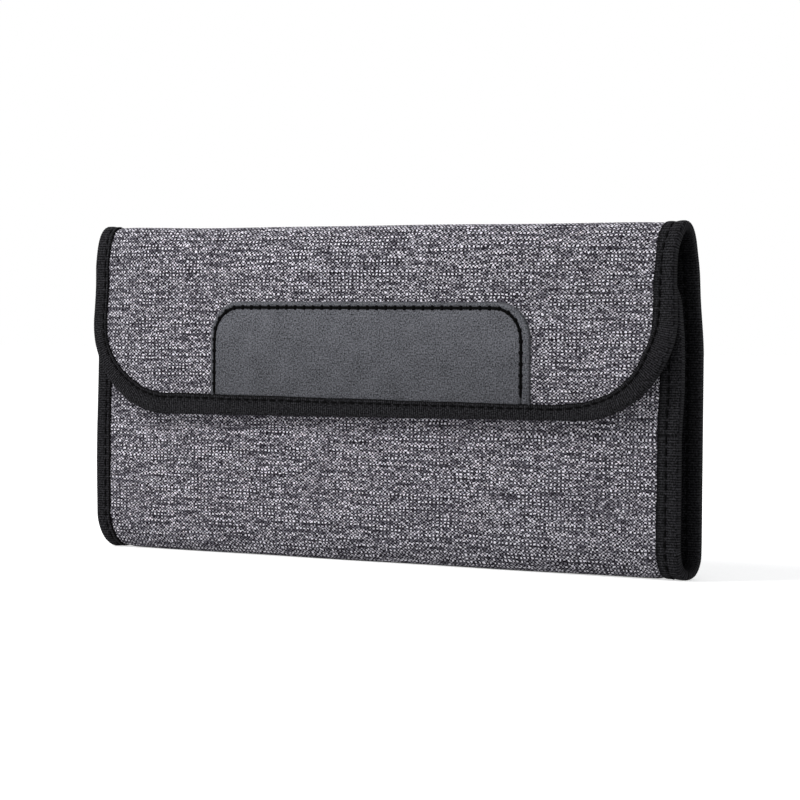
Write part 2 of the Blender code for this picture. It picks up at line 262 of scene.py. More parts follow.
def settle(points, size):
    """Move flat-laid points to the uneven shape of the sewn case.

    The flap's points slide along Z by skew times x, growing from its fold to its foot.
    Near its ends the strip is drawn in by an eased share of z at the top fold and by a
    power of z at the bottom fold, and the top fold rises to the left. Its foot sags
    between the tapes, and the front's left edge is drawn out by a bell of z. The flap's
    right corner is drawn up and stands off the front, and the front's right edge is
    drawn in, by eased shares of x and z.
    """
    x, y, z = points[..., 0], points[..., 1], points[..., 2]
    flap_side = (y < FLAP_Y + EDGE + MM) * (z > FLAP_LOW - 4 * MM)
    slide = ramp(z, FLAP_TOP, FLAP_LOW - FLAP_TOP) * flap_side * (size.flap_skew * x - size.flap_drop)
    crown = ramp(z, *NECK_Z) * (1 - 0.5 * ramp(z, *CROWN_Z_END))
    foot = np.power(np.clip(1 - z / (12 * MM), 0, 1), 1.5) * np.where(x < 0, 1, 0.2)
    draw = (size.crown_draw * crown + size.foot_draw * foot) * ramp(np.abs(x), *DRAWN_X)
    rise = (size.crown_rise + size.crown_lift * ramp(x, *CROWN_LIFT_X)) * ramp(z, *CROWN_RISE_Z)
    sag = size.foot_sag * ramp(z, *SAG_Z) * ramp(np.abs(x), *SAG_X)
    on_front = (y > FLAP_Y + EDGE) * (y < FRONT_Y + EDGE + 0.2 * MM)
    belly = size.front_belly * bell(z - 35 * MM, 25 * MM) * ramp(x, *BELLY_X) * on_front
    on_flap = y < FLAP_Y + EDGE + 0.15 * MM
    sweep = size.flap_sweep * ramp(z, *CORNER_UP_Z) * ramp(x, *CORNER_UP_X) * on_flap
    lift = size.flap_lift * ramp(z, *CORNER_OFF_Z) * ramp(x, *CORNER_OFF_X) * on_flap
    narrow = size.front_narrow * ramp(z, *NARROW_TOP_Z) + size.foot_narrow * ramp(z, *NARROW_FOOT_Z)
    narrow = narrow * ramp(x, *NARROW_X) * ramp(y, BACK_Y - EDGE, FRONT_Y - BACK_Y + 2 * EDGE) * ~on_flap
    return np.stack([x - np.sign(x) * draw - belly - narrow, y - lift, z + slide + rise - sag + sweep], -1)


def edge_distance(x, away, radius, half):
    """Distance inside a strip's end with round corners: x across, away from the end."""
    qx = np.abs(x) - (half - radius)
    qz = radius - away
    inside = np.minimum(np.maximum(qx, qz), 0)
    return radius - np.hypot(np.maximum(qx, 0), np.maximum(qz, 0)) - inside


def add_object(name, points, faces):
    """A smooth mesh object in the scene, from points and faces."""
    mesh = bpy.data.meshes.new(name)
    mesh.from_pydata(points.tolist(), [], faces)
    mesh.shade_smooth()
    made = bpy.data.objects.new(name, mesh)
    bpy.context.scene.collection.objects.link(made)
    return made


def wound_in(points, quads):
    """Whether quads face inward: the sum of their tetrahedra's volumes is below zero."""
    a, b, c, d = (points[quads[:, i]] - points.mean(0) for i in range(4))
    return (np.cross(a, b) * c).sum() + (np.cross(a, c) * d).sum() < 0


def fill_mesh(name, points, quads, uvs):
    """A piece from point and quad arrays, wound to face out, with cloth coordinates."""
    if wound_in(points, quads):
        quads = quads[:, ::-1]
    made = add_object(name, points, quads.tolist())
    layer = made.data.uv_layers.new(name="cloth")
    index = np.zeros(len(made.data.loops), np.int32)
    made.data.loops.foreach_get("vertex_index", index)
    layer.data.foreach_set("uv", uvs[index].astype(np.float32).ravel())
    return made


def grid_quads(rows, columns, start=0):
    """Quads of a grid of points stored row by row."""
    r, c = np.meshgrid(np.arange(rows - 1), np.arange(columns - 1), indexing="ij")
    first = (start + r * columns + c).ravel()
    return np.stack([first, first + 1, first + columns + 1, first + columns], 1)


def shell(name, outer, inner, uv):
    """A closed sheet: an outer and an inner grid of points joined round their rim."""
    rows, columns = outer.shape[:2]
    count = rows * columns
    points = np.concatenate([outer.reshape(-1, 3), inner.reshape(-1, 3)])
    top = grid_quads(rows, columns)
    under = grid_quads(rows, columns, count)[:, ::-1]
    index = np.arange(count).reshape(rows, columns)
    rim = np.concatenate([index[0], index[1:, -1], index[-1, -2::-1], index[-2:0:-1, 0]])
    after = np.roll(rim, -1)
    sides = np.stack([after, rim, rim + count, after + count], 1)
    uvs = np.concatenate([uv.reshape(-1, 2)] * 2)
    return fill_mesh(name, points, np.concatenate([top, under, sides]), uvs)


def sweep(name, rings, uv):
    """A closed solid: rings of points, each the same section, joined and capped.

    Ring point i faces point m-1-i across the section's wall, so the caps are quads.
    """
    count, m = rings.shape[:2]
    base = np.arange(count - 1)[:, None] * m
    i = np.arange(m)[None, :]
    j = (i + 1) % m
    quads = np.stack([base + i, base + j, base + m + j, base + m + i], -1).reshape(-1, 4)
    half = np.arange(m // 2 - 1)
    cap = np.stack([half, half + 1, m - 2 - half, m - 1 - half], 1)
    faces = np.concatenate([quads, cap[:, ::-1], cap + (count - 1) * m])
    return fill_mesh(name, rings.reshape(-1, 3), faces, uv.reshape(-1, 2))


def spaced_rows(first, last, radius_first, radius_last, step):
    """Arc lengths of a cloth's rows, closer together where a corner rounds off."""
    fine = np.linspace(math.radians(5), math.pi / 2, 16)
    rows = []
    if radius_first:
        rows.append(first + radius_first * (1 - np.cos(fine)))
        first = first + radius_first
    end = last - radius_last
    count = max(int((end - first) / step), 2)
    rows.append(np.linspace(first, end, count + 1)[1 if radius_first else 0 :])
    if radius_last:
        rows.append(last - radius_last * (1 - np.cos(fine[::-1]))[1:])
    return np.concatenate(rows)


def half_width(s, first, last, radius_first, radius_last, half):
    """Half width of a cloth at arc length s: full, less the corner circles at its ends."""
    cut = np.zeros_like(s)
    for radius, away in ((radius_first, s - first), (radius_last, last - s)):
        if radius:
            rest = np.clip(radius - away, 0, radius)
            cut = cut + radius - np.sqrt(np.maximum(radius * radius - rest * rest, 0))
    return half - cut


def soft_relief(x, s, inside, width, size):
    """Height of the cover over its flat place.

    It is drawn down beside the tape, which covers a given width, puckered by the stitches
    there, slightly domed further in, and has slow swells: sums of sines along and across.
    """
    past = inside - width
    away = np.maximum(past, 0)
    drawn = -0.22 * MM * bell(past + 0.4 * MM, 1.3 * MM)
    dome = 0.20 * MM * (1 - np.exp(-away / (7 * MM)))
    pucker = 0.075 * MM * np.sin(math.pi * (x + s) / size.stitch) * np.exp(-away / (3.5 * MM))
    swell = 0.10 * MM * np.sin(x / (23 * MM) + 1.3) * np.sin(s / (17 * MM) + 0.4)
    swell += 0.06 * MM * np.sin(x / (11 * MM) - s / (31 * MM))
    swell += 0.05 * MM * np.sin(s / (7 * MM) + x / (60 * MM))
    hidden = ramp(past, -1.5 * MM, 1.5 * MM)
    return hidden * (drawn + dome + pucker + swell * ramp(away, 0, 10 * MM)) - 0.15 * MM * (1 - hidden)


def cloth_strip(name, size, first, last, corner, offsets, relief, inset):
    """A cloth of the strip between two arc lengths, with its outer end round-cornered.

    Point = line(s) + normal(s) * (offset + relief(x, s)), x = c * half width(s).
    """
    line = strip_line(size)
    at_start = first == 0
    half = WIDTH / 2 - inset
    radius = corner - inset
    ends = (first + inset, last) if at_start else (first, last - inset)
    radii = (radius, 0) if at_start else (0, radius)
    s = spaced_rows(*ends, *radii, 1.4 * MM)
    across = half_width(s, *ends, *radii, half)
    c = np.linspace(-1, 1, 171)
    x = across[:, None] * c[None, :]
    ss = np.repeat(s[:, None], len(c), 1)
    away = ss - first if at_start else last - ss
    inside = edge_distance(x, away, corner, WIDTH / 2)
    y, z, ny, nz = (value[:, None] for value in on_line(line, s))
    beyond = np.stack([np.maximum(np.abs(x) - (WIDTH / 2 - corner), 0), np.maximum(corner - away, 0)])
    toward = inside * beyond / np.maximum(np.hypot(*beyond), MM)
    nearest = np.stack([x + np.sign(x) * toward[0], y + 0 * x, z - toward[1]], -1)
    width = face_width(nearest, size)
    grids = []
    for offset, amount in zip(offsets, relief):
        reach = offset + amount * soft_relief(x, ss, inside, width, size)
        points = np.stack([x, y + ny * reach, z + nz * reach], -1)
        grids.append(settle(points, size))
    return shell(name, grids[0], grids[1], np.stack([x, ss], -1))


def raw_edge(size, upper):
    """Places, inward and outward directions along the raw edge that a tape is folded on.

    Up the left side of the strip, round the end's two circles and down the right side.
    """
    line = strip_line(size)
    radius = size.flap_corner if upper else size.front_corner
    stop = line["end"] - radius if upper else radius
    s = np.linspace(line["split"], stop, 500)
    y, z, ny, nz = on_line(line, s)
    side = np.stack([np.full_like(s, -WIDTH / 2), y, z], 1)
    zero = np.zeros_like(s)
    inward = np.stack([zero + 1, zero, zero], 1)
    outward = np.stack([zero, ny, nz], 1)
    phi = np.linspace(0, math.pi / 2, 120)[1:]
    panel_y = FLAP_Y if upper else FRONT_Y
    end_z = FLAP_LOW if upper else FRONT_TOP
    up = -1 if upper else 1
    centre = np.array([radius - WIDTH / 2, panel_y, end_z - up * radius])
    spoke = np.stack([-np.cos(phi), np.zeros_like(phi), up * np.sin(phi)], 1)
    bend = centre + radius * spoke
    front = np.repeat([[0.0, -1.0, 0.0]], len(phi), 0)
    flip = np.array([-1, 1, 1])
    halves = (np.concatenate(pair) for pair in ((side, bend), (inward, -spoke), (outward, front)))
    place, inward, outward = (np.concatenate([half, half[::-1] * flip]) for half in halves)
    t = np.concatenate([[0], np.cumsum(np.linalg.norm(np.diff(place, axis=0), axis=1))])
    return {"t": t, "place": place, "inward": inward, "outward": outward, "end": t[-1]}


def along_edge(edge, t):
    """Place, inward, outward and forward directions of a raw edge at lengths t."""
    found = []
    for key in ("place", "inward", "outward"):
        value = np.stack([np.interp(t, edge["t"], edge[key][:, i]) for i in range(3)], 1)
        if key != "place":
            value /= np.linalg.norm(value, axis=1)[:, None]
        found.append(value)
    forward = np.gradient(found[0], t, axis=0)
    forward /= np.linalg.norm(forward, axis=1)[:, None]
    return (*found, forward)


OUTER_CONTOUR = (
    (1.000, 0.640), (1.010, 0.700), (1.004, 0.780), (0.980, 0.835), (0.930, 0.865), (0.850, 0.875),
    (0.770, 0.868), (0.715, 0.845), (0.680, 0.815), (0.655, 0.810), (0.625, 0.838), (0.570, 0.880),
    (0.480, 0.920), (0.370, 0.955), (0.260, 0.972), (0.165, 0.965), (0.090, 0.915), (0.038, 0.810),
    (0.010, 0.640), (0.000, 0.420), (0.000, 0.140),
)
INNER_CONTOUR = (
    (0.930, 0.636), (0.600, 0.650), (0.300, 0.670), (0.110, 0.620), (0.072, 0.400), (0.070, 0.130),
)
GROOVE_SHARE = 0.665
GROOVE_SHADE = 0.93
# Near-black of the tape's thread marks and of its painted shade.
TAPE_DASH_AND_SHADE = (0.001, 0.001, 0.0012)
# Near-black of the painted shade in the leather's stitch groove.
LEATHER_GROOVE_SHADE = (0.004, 0.004, 0.0045)
LEATHER_RIM = (0.035, 0.035, 0.038)
# Painted light: the leather's colour scale at its foot and at its top.
LEATHER_TOP_LIGHT = (0.83, 1.24)


def tape_section():
    """The folded tape's section as shares of its face width and of half its thickness.

    The outer contour runs from one leg's inner edge round the web to the other leg's,
    and the inner contour runs back, so that point i faces point m-1-i.
    """
    outer = np.array(OUTER_CONTOUR + tuple((u, -v) for u, v in OUTER_CONTOUR[::-1]))
    inner = np.array(INNER_CONTOUR + tuple((u, -v) for u, v in INNER_CONTOUR[::-1]))
    station = np.linspace(0, 1, len(outer))
    fine = np.stack([np.interp(station, np.linspace(0, 1, len(inner)), inner[:, i]) for i in range(2)], 1)
    return outer, fine[::-1]


def face_width(place, size):
    """Width of the tape's face at places on the raw edge.

    Along the flap's lower edge it falls with x, and round the flap's right corner it
    spreads, by eased shares of x and z. Up the strip's right end it is wider, by an eased
    share of x, and less so on the flap.
    """
    x, y, z = place[..., 0], place[..., 1], place[..., 2]
    flap = y < FLAP_Y + EDGE
    low = ramp(z, *LOW_EDGE_Z) * flap * (np.abs(z - FLAP_LOW) < 22 * MM)
    wider = (0.5 + 0.5 * ramp(y, *BEHIND_Y)) * size.tape_right * ramp(x, *WIDE_X)
    spread = size.tape_spread + size.tape_spread_low * ramp(x, *SPREAD_MORE_X)
    spread = spread * ramp(x, *SPREAD_X) * ramp(z, *SPREAD_Z) * flap
    return size.tape_face - low * size.tape_drift * x + wider * (1 - low) + spread


def stitch_line(place, size):
    """Where the thread lies, as a share of the tape's face: further in to the right and behind."""
    x, y, z = place[..., 0], place[..., 1], place[..., 2]
    behind = ramp(y, *BEHIND_Y)
    right = ramp(x, *THREAD_IN_X) * np.maximum(behind, ramp(z, *THREAD_IN_Z))
    inset = size.stitch_inset + 0.5 * MM * behind * (1 - right) + (1.1 + 0.9 * behind) * MM * right
    return 1 - inset / face_width(place, size)


def patch_step(place, size):
    """How far the tape rises at places on the raw edge: where it runs over the patch's foot."""
    half = (PATCH_BOX[1].x - PATCH_BOX[0].x) / 2
    across = ramp(np.abs(place[:, 0]), half, -2 * MM)
    return size.patch_lift * across * (np.abs(place[:, 2] - FLAP_LOW) < MM) * (place[:, 1] < FLAP_Y + EDGE)


def tape_rings(size, edge, t):
    """Rings of the folded tape, their cloth coordinates and a mask for each point: black marks along the
    thread with painted shade in the stitch groove, and painted shade at the tape's inner edge and on its
    inner leg.

    The section is carried along the edge: point = place + inward * u + outward * v. Its
    part inside the thread's groove and its part outside it are each stretched so that the
    groove follows the stitch line. Cosines of t add the ribs and the stitches' dimples.
    """
    place, inward, outward, _ = along_edge(edge, t)
    outer, inner = tape_section()
    section = np.concatenate([outer, inner])
    u_share, v_share = section[:, 0], section[:, 1]
    along = t[:, None]
    side = np.sign(v_share)
    top = np.arange(len(section)) < len(outer)
    ends = ramp(along, 0, 12 * MM) * ramp(along, edge["end"], -12 * MM)
    wander = ends * (0.10 * MM * np.sin(along / (6.1 * MM)) + 0.07 * MM * np.sin(along / (2.3 * MM) + 1))
    line_share = stitch_line(place, size)[:, None]
    before = u_share * line_share / GROOVE_SHARE
    after = 1 - (1 - u_share) * (1 - line_share) / (1 - GROOVE_SHARE)
    u = (face_width(place, size)[:, None] + wander) * np.where(u_share < GROOVE_SHARE, before, after)
    v = v_share * EDGE * np.where(top, 1 + 0.02 * ends * np.sin(along / (9 * MM)), 1)
    v = v + patch_step(place, size)[:, None] * ease(u_share / 0.7) * (side > 0)
    dive = 0.5 + 0.5 * np.cos(2 * math.pi * along / size.stitch)
    v = v - side * top * size.dimple * bell(u_share - GROOVE_SHARE, 0.08) * dive
    rib = size.rib_height * np.cos(2 * math.pi * along / size.rib)
    flat = np.clip(np.abs(v_share) * 1.6, 0, 1)
    v = v + top * side * rib * flat
    u = u - top * rib * (1 - flat)
    points = place[:, None] + inward[:, None] * u[..., None] + outward[:, None] * v[..., None]
    uv = np.stack([along + 0 * u, u], -1)
    # Black marks where the thread lies, with painted shade in the stitch groove.
    dash_and_groove_shade = bell(u_share - GROOVE_SHARE, 0.07) * (1 - 0.8 * np.square(dive))
    # Painted shade at the tape's inner edge, where it meets the cloth, and on its inner leg, inside the case.
    painted_shade = np.maximum(ease((u_share - 0.89) / 0.08), 0.6 * ease(-v_share / 0.6))
    # Less of the inner leg's painted shade on the back's tapes.
    lit = 1 - 0.45 * ramp(place[:, 1], BACK_Y - EDGE, EDGE)[:, None] * (v_share < 0)
    return settle(points, size), uv, np.where(top, np.maximum(dash_and_groove_shade, lit * painted_shade), 0)


THREAD_RINGS = ((-0.50, 0.20, -0.9), (-0.42, 0.75, -0.35), (-0.22, 1.0, 0.1), (0.0, 1.0, 0.2),
                (0.22, 1.0, 0.1), (0.42, 0.75, -0.35), (0.50, 0.20, -0.9))


def stitches(name, centre, forward, outward, reach, radius):
    """Many stitches in one mesh: each a short thread that dips into the cloth at its ends.

    Ring k of a stitch lies at share a of its length, with radius share r, raised by share
    h of the radius: centre + a*reach*forward + (h*radius)*outward + radius*r*circle.
    """
    table = np.array(THREAD_RINGS)
    sides = 7
    angle = np.arange(sides) * 2 * math.pi / sides
    across = np.cross(forward, outward)
    a, r, h = (table[:, i][None, :, None, None] for i in range(3))
    circle = np.cos(angle)[None, None, :, None] * across[:, None, None, :]
    circle = circle + np.sin(angle)[None, None, :, None] * outward[:, None, None, :]
    core = centre[:, None, None, :] + a * reach * forward[:, None, None, :]
    points = core + h * radius * outward[:, None, None, :] + radius * r * circle
    rings = len(table)
    k, i = np.meshgrid(np.arange(rings - 1), np.arange(sides), indexing="ij")
    first = k * sides + i
    after = k * sides + (i + 1) % sides
    quads = np.stack([first, after, after + sides, first + sides], -1).reshape(-1, 4)
    caps = np.stack([np.arange(sides)[::-1], np.arange(sides) + (rings - 1) * sides])
    if wound_in(points[0].reshape(-1, 3), quads):
        quads, caps = quads[:, ::-1], caps[:, ::-1]
    starts = (np.arange(len(centre)) * rings * sides)[:, None, None]
    faces = []
    for group in (quads, caps):
        faces += (group + starts).reshape(-1, group.shape[1]).tolist()
    return add_object(name, points.reshape(-1, 3), faces)


def tape_stitches(name, size, edge):
    """The lockstitch row of one tape, on both of its faces."""
    t = np.arange(size.stitch / 2, edge["end"], size.stitch)
    place, inward, outward, forward = along_edge(edge, t)
    u = (face_width(place, size) * stitch_line(place, size))[:, None]
    height = 0.82 * EDGE
    outer = place + inward * u + outward * (height + patch_step(place, size)[:, None])
    inner = place + inward * u - outward * height
    centre = settle(np.concatenate([outer, inner]), size)
    ways = np.concatenate([forward, forward])
    normals = np.concatenate([outward, -outward])
    return stitches(name, centre, ways, normals, size.stitch * 0.74, size.thread / 2)


def attribute(obj, name, values):
    """Store one number for each vertex of a mesh."""
    layer = obj.data.attributes.new(name, "FLOAT", "POINT")
    layer.data.foreach_set("value", values.astype(np.float32).ravel())


def groove_path(size):
    """Points every stitch along the patch's groove: up the left, over the top, down the right."""
    left = PATCH_BOX[0].x + size.patch_left
    right = PATCH_BOX[1].x - size.patch_right
    top = PATCH_BOX[1].z - size.patch_top
    radius = size.patch_corner - size.patch_top
    turn = np.linspace(0, math.pi / 2, 40)
    rise = top - radius + radius * np.sin(turn)
    foot = [PATCH_BOX[0].z]
    x = [[left], left + radius - radius * np.cos(turn), right - radius + radius * np.sin(turn), [right]]
    x, z = np.concatenate(x), np.concatenate([foot, rise, rise[::-1], foot])
    t = np.concatenate([[0], np.cumsum(np.hypot(np.diff(x), np.diff(z)))])
    count = int(t[-1] / size.stitch)
    holes = np.linspace(t[-1] * 0.004, t[-1] * 0.996, count + 1)
    return np.stack([np.interp(holes, t, x), np.interp(holes, t, z)], 1)


def patch_grid(half, tall, radius, step, coarse):
    """Shares of the half width and distances from the top, dense over the corners."""
    side = int(radius / step)
    middle = int(2 * (half - radius) / coarse)
    outer = np.linspace(1, 1 - radius / half, side + 1)
    between = np.linspace(radius / half - 1, 1 - radius / half, middle + 1)[1:-1]
    c = np.concatenate([-outer, between, outer[::-1]])
    cap = radius * (1 - np.cos(np.linspace(0.03, math.pi / 2, side)))
    down = np.concatenate([cap, np.linspace(radius, tall, int((tall - radius) / (2 * step)))[1:]])
    return c, down


def patch_shell(size):
    """The leather patch: height over the flap against the distance from its cut edge.

    A quarter-round edge, a stitch groove, a slightly full middle, and a foot that is
    pressed down from the tape's inner edge on.
    """
    left, right = PATCH_BOX[0].x, PATCH_BOX[1].x
    top, foot = PATCH_BOX[1].z, PATCH_BOX[0].z - 2.2 * MM
    radius = size.patch_corner
    wide = (right - left) / 2
    c, down = patch_grid(wide, top - foot, radius, 0.21 * MM, 0.9 * MM)
    z = top - down
    rest = np.clip(radius - down, 0, radius)
    half = wide - (radius - np.sqrt(np.maximum(radius**2 - rest**2, 0)))
    x = (left + right) / 2 + half[:, None] * c[None, :]
    zz = np.repeat(z[:, None], len(c), 1)
    inside = edge_distance(x - (left + right) / 2, top - zz, radius, wide)
    gl, gr = left + size.patch_left, right - size.patch_right
    groove_half = (gr - gl) / 2
    groove = edge_distance(x - (gl + gr) / 2, top - size.patch_top - zz, radius - size.patch_top, groove_half)
    thick = PATCH_FACE - PLY
    rise = thick * np.sqrt(np.clip(1 - np.square(1 - np.clip(inside / (0.55 * MM), 0, 1)), 0, 1))
    dip = 0.40 * MM * bell(groove, 0.55 * MM)
    full = 0.12 * MM * ease(groove / (7 * MM)) + 0.04 * MM * bell(groove + 1.2 * MM, 0.6 * MM)
    edge = FLAP_LOW + size.tape_face - size.tape_drift * x
    thin = 0.55 * MM * ramp(zz, edge + 0.5 * MM, -MM)
    wave = 0.05 * MM * np.sin(x / (14 * MM)) * np.sin(zz / (8 * MM))
    height = PLY + 0.02 * MM + rise + (full + wave - dip) * ease(inside / (0.5 * MM)) - thin
    outer = settle(np.stack([x, FLAP_Y - height, zz], -1), size)
    inner = settle(np.stack([x, np.full_like(x, FLAP_Y - PLY + 0.1 * MM), zz], -1), size)
    made = shell("leather_face", outer, inner, np.stack([x, zz], -1))
    # Painted shade: a mask along the stitch groove, stored as the groove attribute.
    depth = bell(groove, 0.38 * MM)
    margin = ramp(inside, 0.9 * MM, -0.9 * MM)
    attribute(made, "groove", np.concatenate([depth.ravel(), np.zeros(depth.size)]))
    attribute(made, "rim", np.concatenate([margin.ravel(), np.ones(margin.size)]))
    return made


def nubs(name, box, outward, pitch, height, seed, flap_size=None):
    """A closure tape: a plate whose face rises in a field of small nubs of random height.

    Height = base + peak * sin(pi x / pitch) * sin(pi z / pitch), for each nub. One that is
    on the flap settles with it.
    """
    low, high = box
    per = 4
    columns = int((high.x - low.x) / pitch) * per + 1
    rows = int((high.z - low.z) / pitch) * per + 1
    x = np.linspace(low.x, high.x, columns)[None, :].repeat(rows, 0)
    z = np.linspace(low.z, high.z, rows)[:, None].repeat(columns, 1)
    r, c = np.meshgrid(np.arange(rows), np.arange(columns), indexing="ij")
    random = np.random.default_rng(seed).uniform(0.55, 1.0, (rows // per + 2, columns // per + 2))
    peak = random[r // per, c // per]
    wave = np.sin(math.pi * (c % per) / per) * np.sin(math.pi * (r % per) / per)
    border = np.minimum(np.minimum(x - low.x, high.x - x), np.minimum(z - low.z, high.z - z))
    lift = height * peak * wave * ease(border / (1.2 * MM)) * (border > 0.6 * MM)
    face = (low.y if outward < 0 else high.y) - outward * 0.25 * MM
    root = high.y if outward < 0 else low.y
    outer = np.stack([x, face + outward * lift, z], -1)
    inner = np.stack([x, np.full_like(x, root), z], -1)
    uv = np.stack([x, z], -1)
    if flap_size:
        outer, inner = settle(outer, flap_size), settle(inner, flap_size)
    return shell(name, outer, inner, uv)


def pocket_rise(node, x, z, seed):
    """Height of a slack pocket's inner face over its panel.

    Flat at its seams and bulged out between them: depth * ease(side distance) *
    ease(foot distance), plus creases that fan from the two lower corners and fade to the
    mouth. Above the mouth it goes on as at the mouth.
    """
    low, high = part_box(node)
    z = np.minimum(z, high.z)
    flange, shoulder, foot = 2.5 * MM, 8 * MM, 5 * MM
    side = np.minimum(x - low.x, high.x - x) - flange
    bulge = ease(side / shoulder) * ease((z - low.z - flange) / foot)
    rng = np.random.default_rng(seed)
    crease = np.zeros_like(x)
    for corner_x in (low.x, high.x):
        angle = np.arctan2(z - low.z, np.abs(x - corner_x) + MM)
        away = np.hypot(x - corner_x, z - low.z)
        turns = rng.uniform(5, 8)
        crease += np.sin(angle * turns + rng.uniform(0, 6)) * np.exp(-away / (22 * MM))
    slack = 0.5 - 0.5 * np.cos(2 * math.pi * (x - low.x) / (high.x - low.x))
    mouth = ease((z - high.z + 25 * MM) / (25 * MM))
    depth = high.y - low.y - 0.73 * MM
    seam = 0.10 * MM * np.sin(math.pi * z / STITCH) * bell(side + MM, 2 * MM)
    return bulge * (depth + 0.12 * MM * crease - 0.10 * MM * slack * mouth) + seam * (1 - bulge)


def pocket_shell(name, node, inside, seed):
    """A slack pocket: its rise over the panel, and the cloth's thickness on top."""
    low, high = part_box(node)
    wall = low.y if inside > 0 else high.y
    x, z = np.meshgrid(np.linspace(low.x, high.x, 121), np.linspace(low.z, high.z, 81))
    rise = pocket_rise(node, x, z, seed)
    outer = np.stack([x, wall + inside * (rise + 0.45 * MM), z], -1)
    inner = np.stack([x, wall + inside * np.maximum(rise, 0), z], -1)
    return shell(name, outer, inner, np.stack([x, z], -1))


def band_shell(name, node, inside, seed):
    """The hem band folded over a pocket's mouth, from seam to seam.

    It follows the pocket's rise, with faces that round over at its two edges and fine
    ribs along its height.
    """
    low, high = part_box(node)
    band_low, band_high = (corner.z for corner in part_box(node + "_band"))
    wall = low.y if inside > 0 else high.y
    inset = 0.4 * MM
    share = np.sin(np.linspace(-math.pi / 2, math.pi / 2, 17))
    x, share = np.meshgrid(np.linspace(low.x + inset, high.x - inset, 481), share)
    z = (band_low - 1.2 * MM + band_high) / 2 + share * (band_high - band_low + 1.2 * MM) / 2
    round_off = np.sqrt(np.clip(1 - np.power(share, 8), 0, 1))
    rise = pocket_rise(node, x, z, seed) + 0.25 * MM
    rib = 0.05 * MM * np.cos(2 * math.pi * x / (1.3 * MM)) * round_off
    outer = np.stack([x, wall + inside * (rise + 0.50 * MM * round_off + rib), z], -1)
    inner = np.stack([x, wall + inside * (rise - 0.22 * MM * round_off), z], -1)
    return shell(name, outer, inner, np.stack([x, z], -1))


def pocket_stitches(name, node, size, inside, seed):
    """Stitch rows beside a pocket, under it and along the foot of its hem band."""
    low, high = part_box(node)
    band_low, band_high = (corner.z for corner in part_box(node + "_band"))
    wall = low.y if inside > 0 else high.y
    inset = 1.3 * MM
    z = np.arange(low.z + inset + size.stitch / 2, band_high - MM, size.stitch)
    x = np.arange(low.x + inset + size.stitch / 2, high.x - inset, size.stitch)
    proud = np.where(z > band_low - 1.2 * MM, 0.78, 0.5) * MM
    rows = [np.stack([np.full_like(z, edge), proud, z], 1) for edge in (low.x + inset, high.x - inset)]
    rows.append(np.stack([x, np.full_like(x, 0.5 * MM), np.full_like(x, low.z + inset)], 1))
    seam_z = np.full_like(x, band_low + 0.3 * MM)
    rows.append(np.stack([x, pocket_rise(node, x, seam_z, seed) + 0.78 * MM, seam_z], 1))
    centre = np.concatenate(rows) * (1, inside, 1) + (0, wall, 0)
    upright, level = (np.repeat([way], 2 * len(v), 0) for way, v in (((0.0, 0, 1), z), ((1.0, 0, 0), x)))
    ways = np.concatenate([upright, level])
    ways[-len(x):, 1] = inside * np.gradient(rows[-1][:, 1], x)
    ways /= np.linalg.norm(ways, axis=1)[:, None]
    facing = np.full(len(ways), float(inside))
    normals = np.stack([-ways[:, 1] * ways[:, 0], facing, np.zeros(len(ways))], 1)
    normals /= np.linalg.norm(normals, axis=1)[:, None]
    return stitches(name, centre, ways, normals, size.stitch * 0.8, size.thread / 2)


def feed(tree, value, socket):
    """Link an output to an input socket, or set the socket to a number, vector or colour."""
    if isinstance(value, bpy.types.NodeSocket):
        tree.links.new(value, socket)
    elif socket.type == "RGBA":
        socket.default_value = (*value[:3], 1)
    else:
        socket.default_value = value


def node(tree, kind, inputs=(), **settings):
    """Add a shader node, set its properties and feed its inputs, given by name or number."""
    made = tree.nodes.new(kind)
    for key, value in settings.items():
        setattr(made, key, value)
    for key, value in dict(inputs).items():
        feed(tree, value, made.inputs[key])
    return made


def maths(tree, operation, *values, clamp=False):
    """The output of a Math node on sockets or numbers."""
    return node(tree, "ShaderNodeMath", enumerate(values), operation=operation, use_clamp=clamp).outputs[0]


def vector_maths(tree, operation, *values):
    """The output of a Vector Math node on sockets or vectors."""
    return node(tree, "ShaderNodeVectorMath", enumerate(values), operation=operation).outputs[0]


def scaled(tree, vector, amount):
    """A vector or a colour times a number."""
    values = {"Vector": vector, "Scale": amount}
    return node(tree, "ShaderNodeVectorMath", values, operation="SCALE").outputs[0]


def mixed(tree, share, first, second):
    """The output of a colour Mix node on sockets or colours."""
    return node(tree, "ShaderNodeMix", {0: share, 6: first, 7: second}, data_type="RGBA").outputs[2]


def split_vector(tree, vector):
    """The X and Y of a vector."""
    return node(tree, "ShaderNodeSeparateXYZ", {0: vector}).outputs[:2]


def joined(tree, x, y):
    """A vector from an X and a Y."""
    return node(tree, "ShaderNodeCombineXYZ", {0: x, 1: y}).outputs[0]


def noise(tree, vector, detail, roughness):
    """A noise texture's value on a vector, with cells of unit size."""
    values = {"Vector": vector, "Scale": 1.0, "Detail": detail, "Roughness": roughness}
    return node(tree, "ShaderNodeTexNoise", values, noise_dimensions="3D").outputs["Fac"]


def ranged(tree, value, low, high, to_low=0.0, to_high=1.0):
    """Map a value from one range to another, clamped."""
    limits = {"From Min": low, "From Max": high, "To Min": to_low, "To Max": to_high}
    return node(tree, "ShaderNodeMapRange", {"Value": value, **limits}).outputs["Result"]


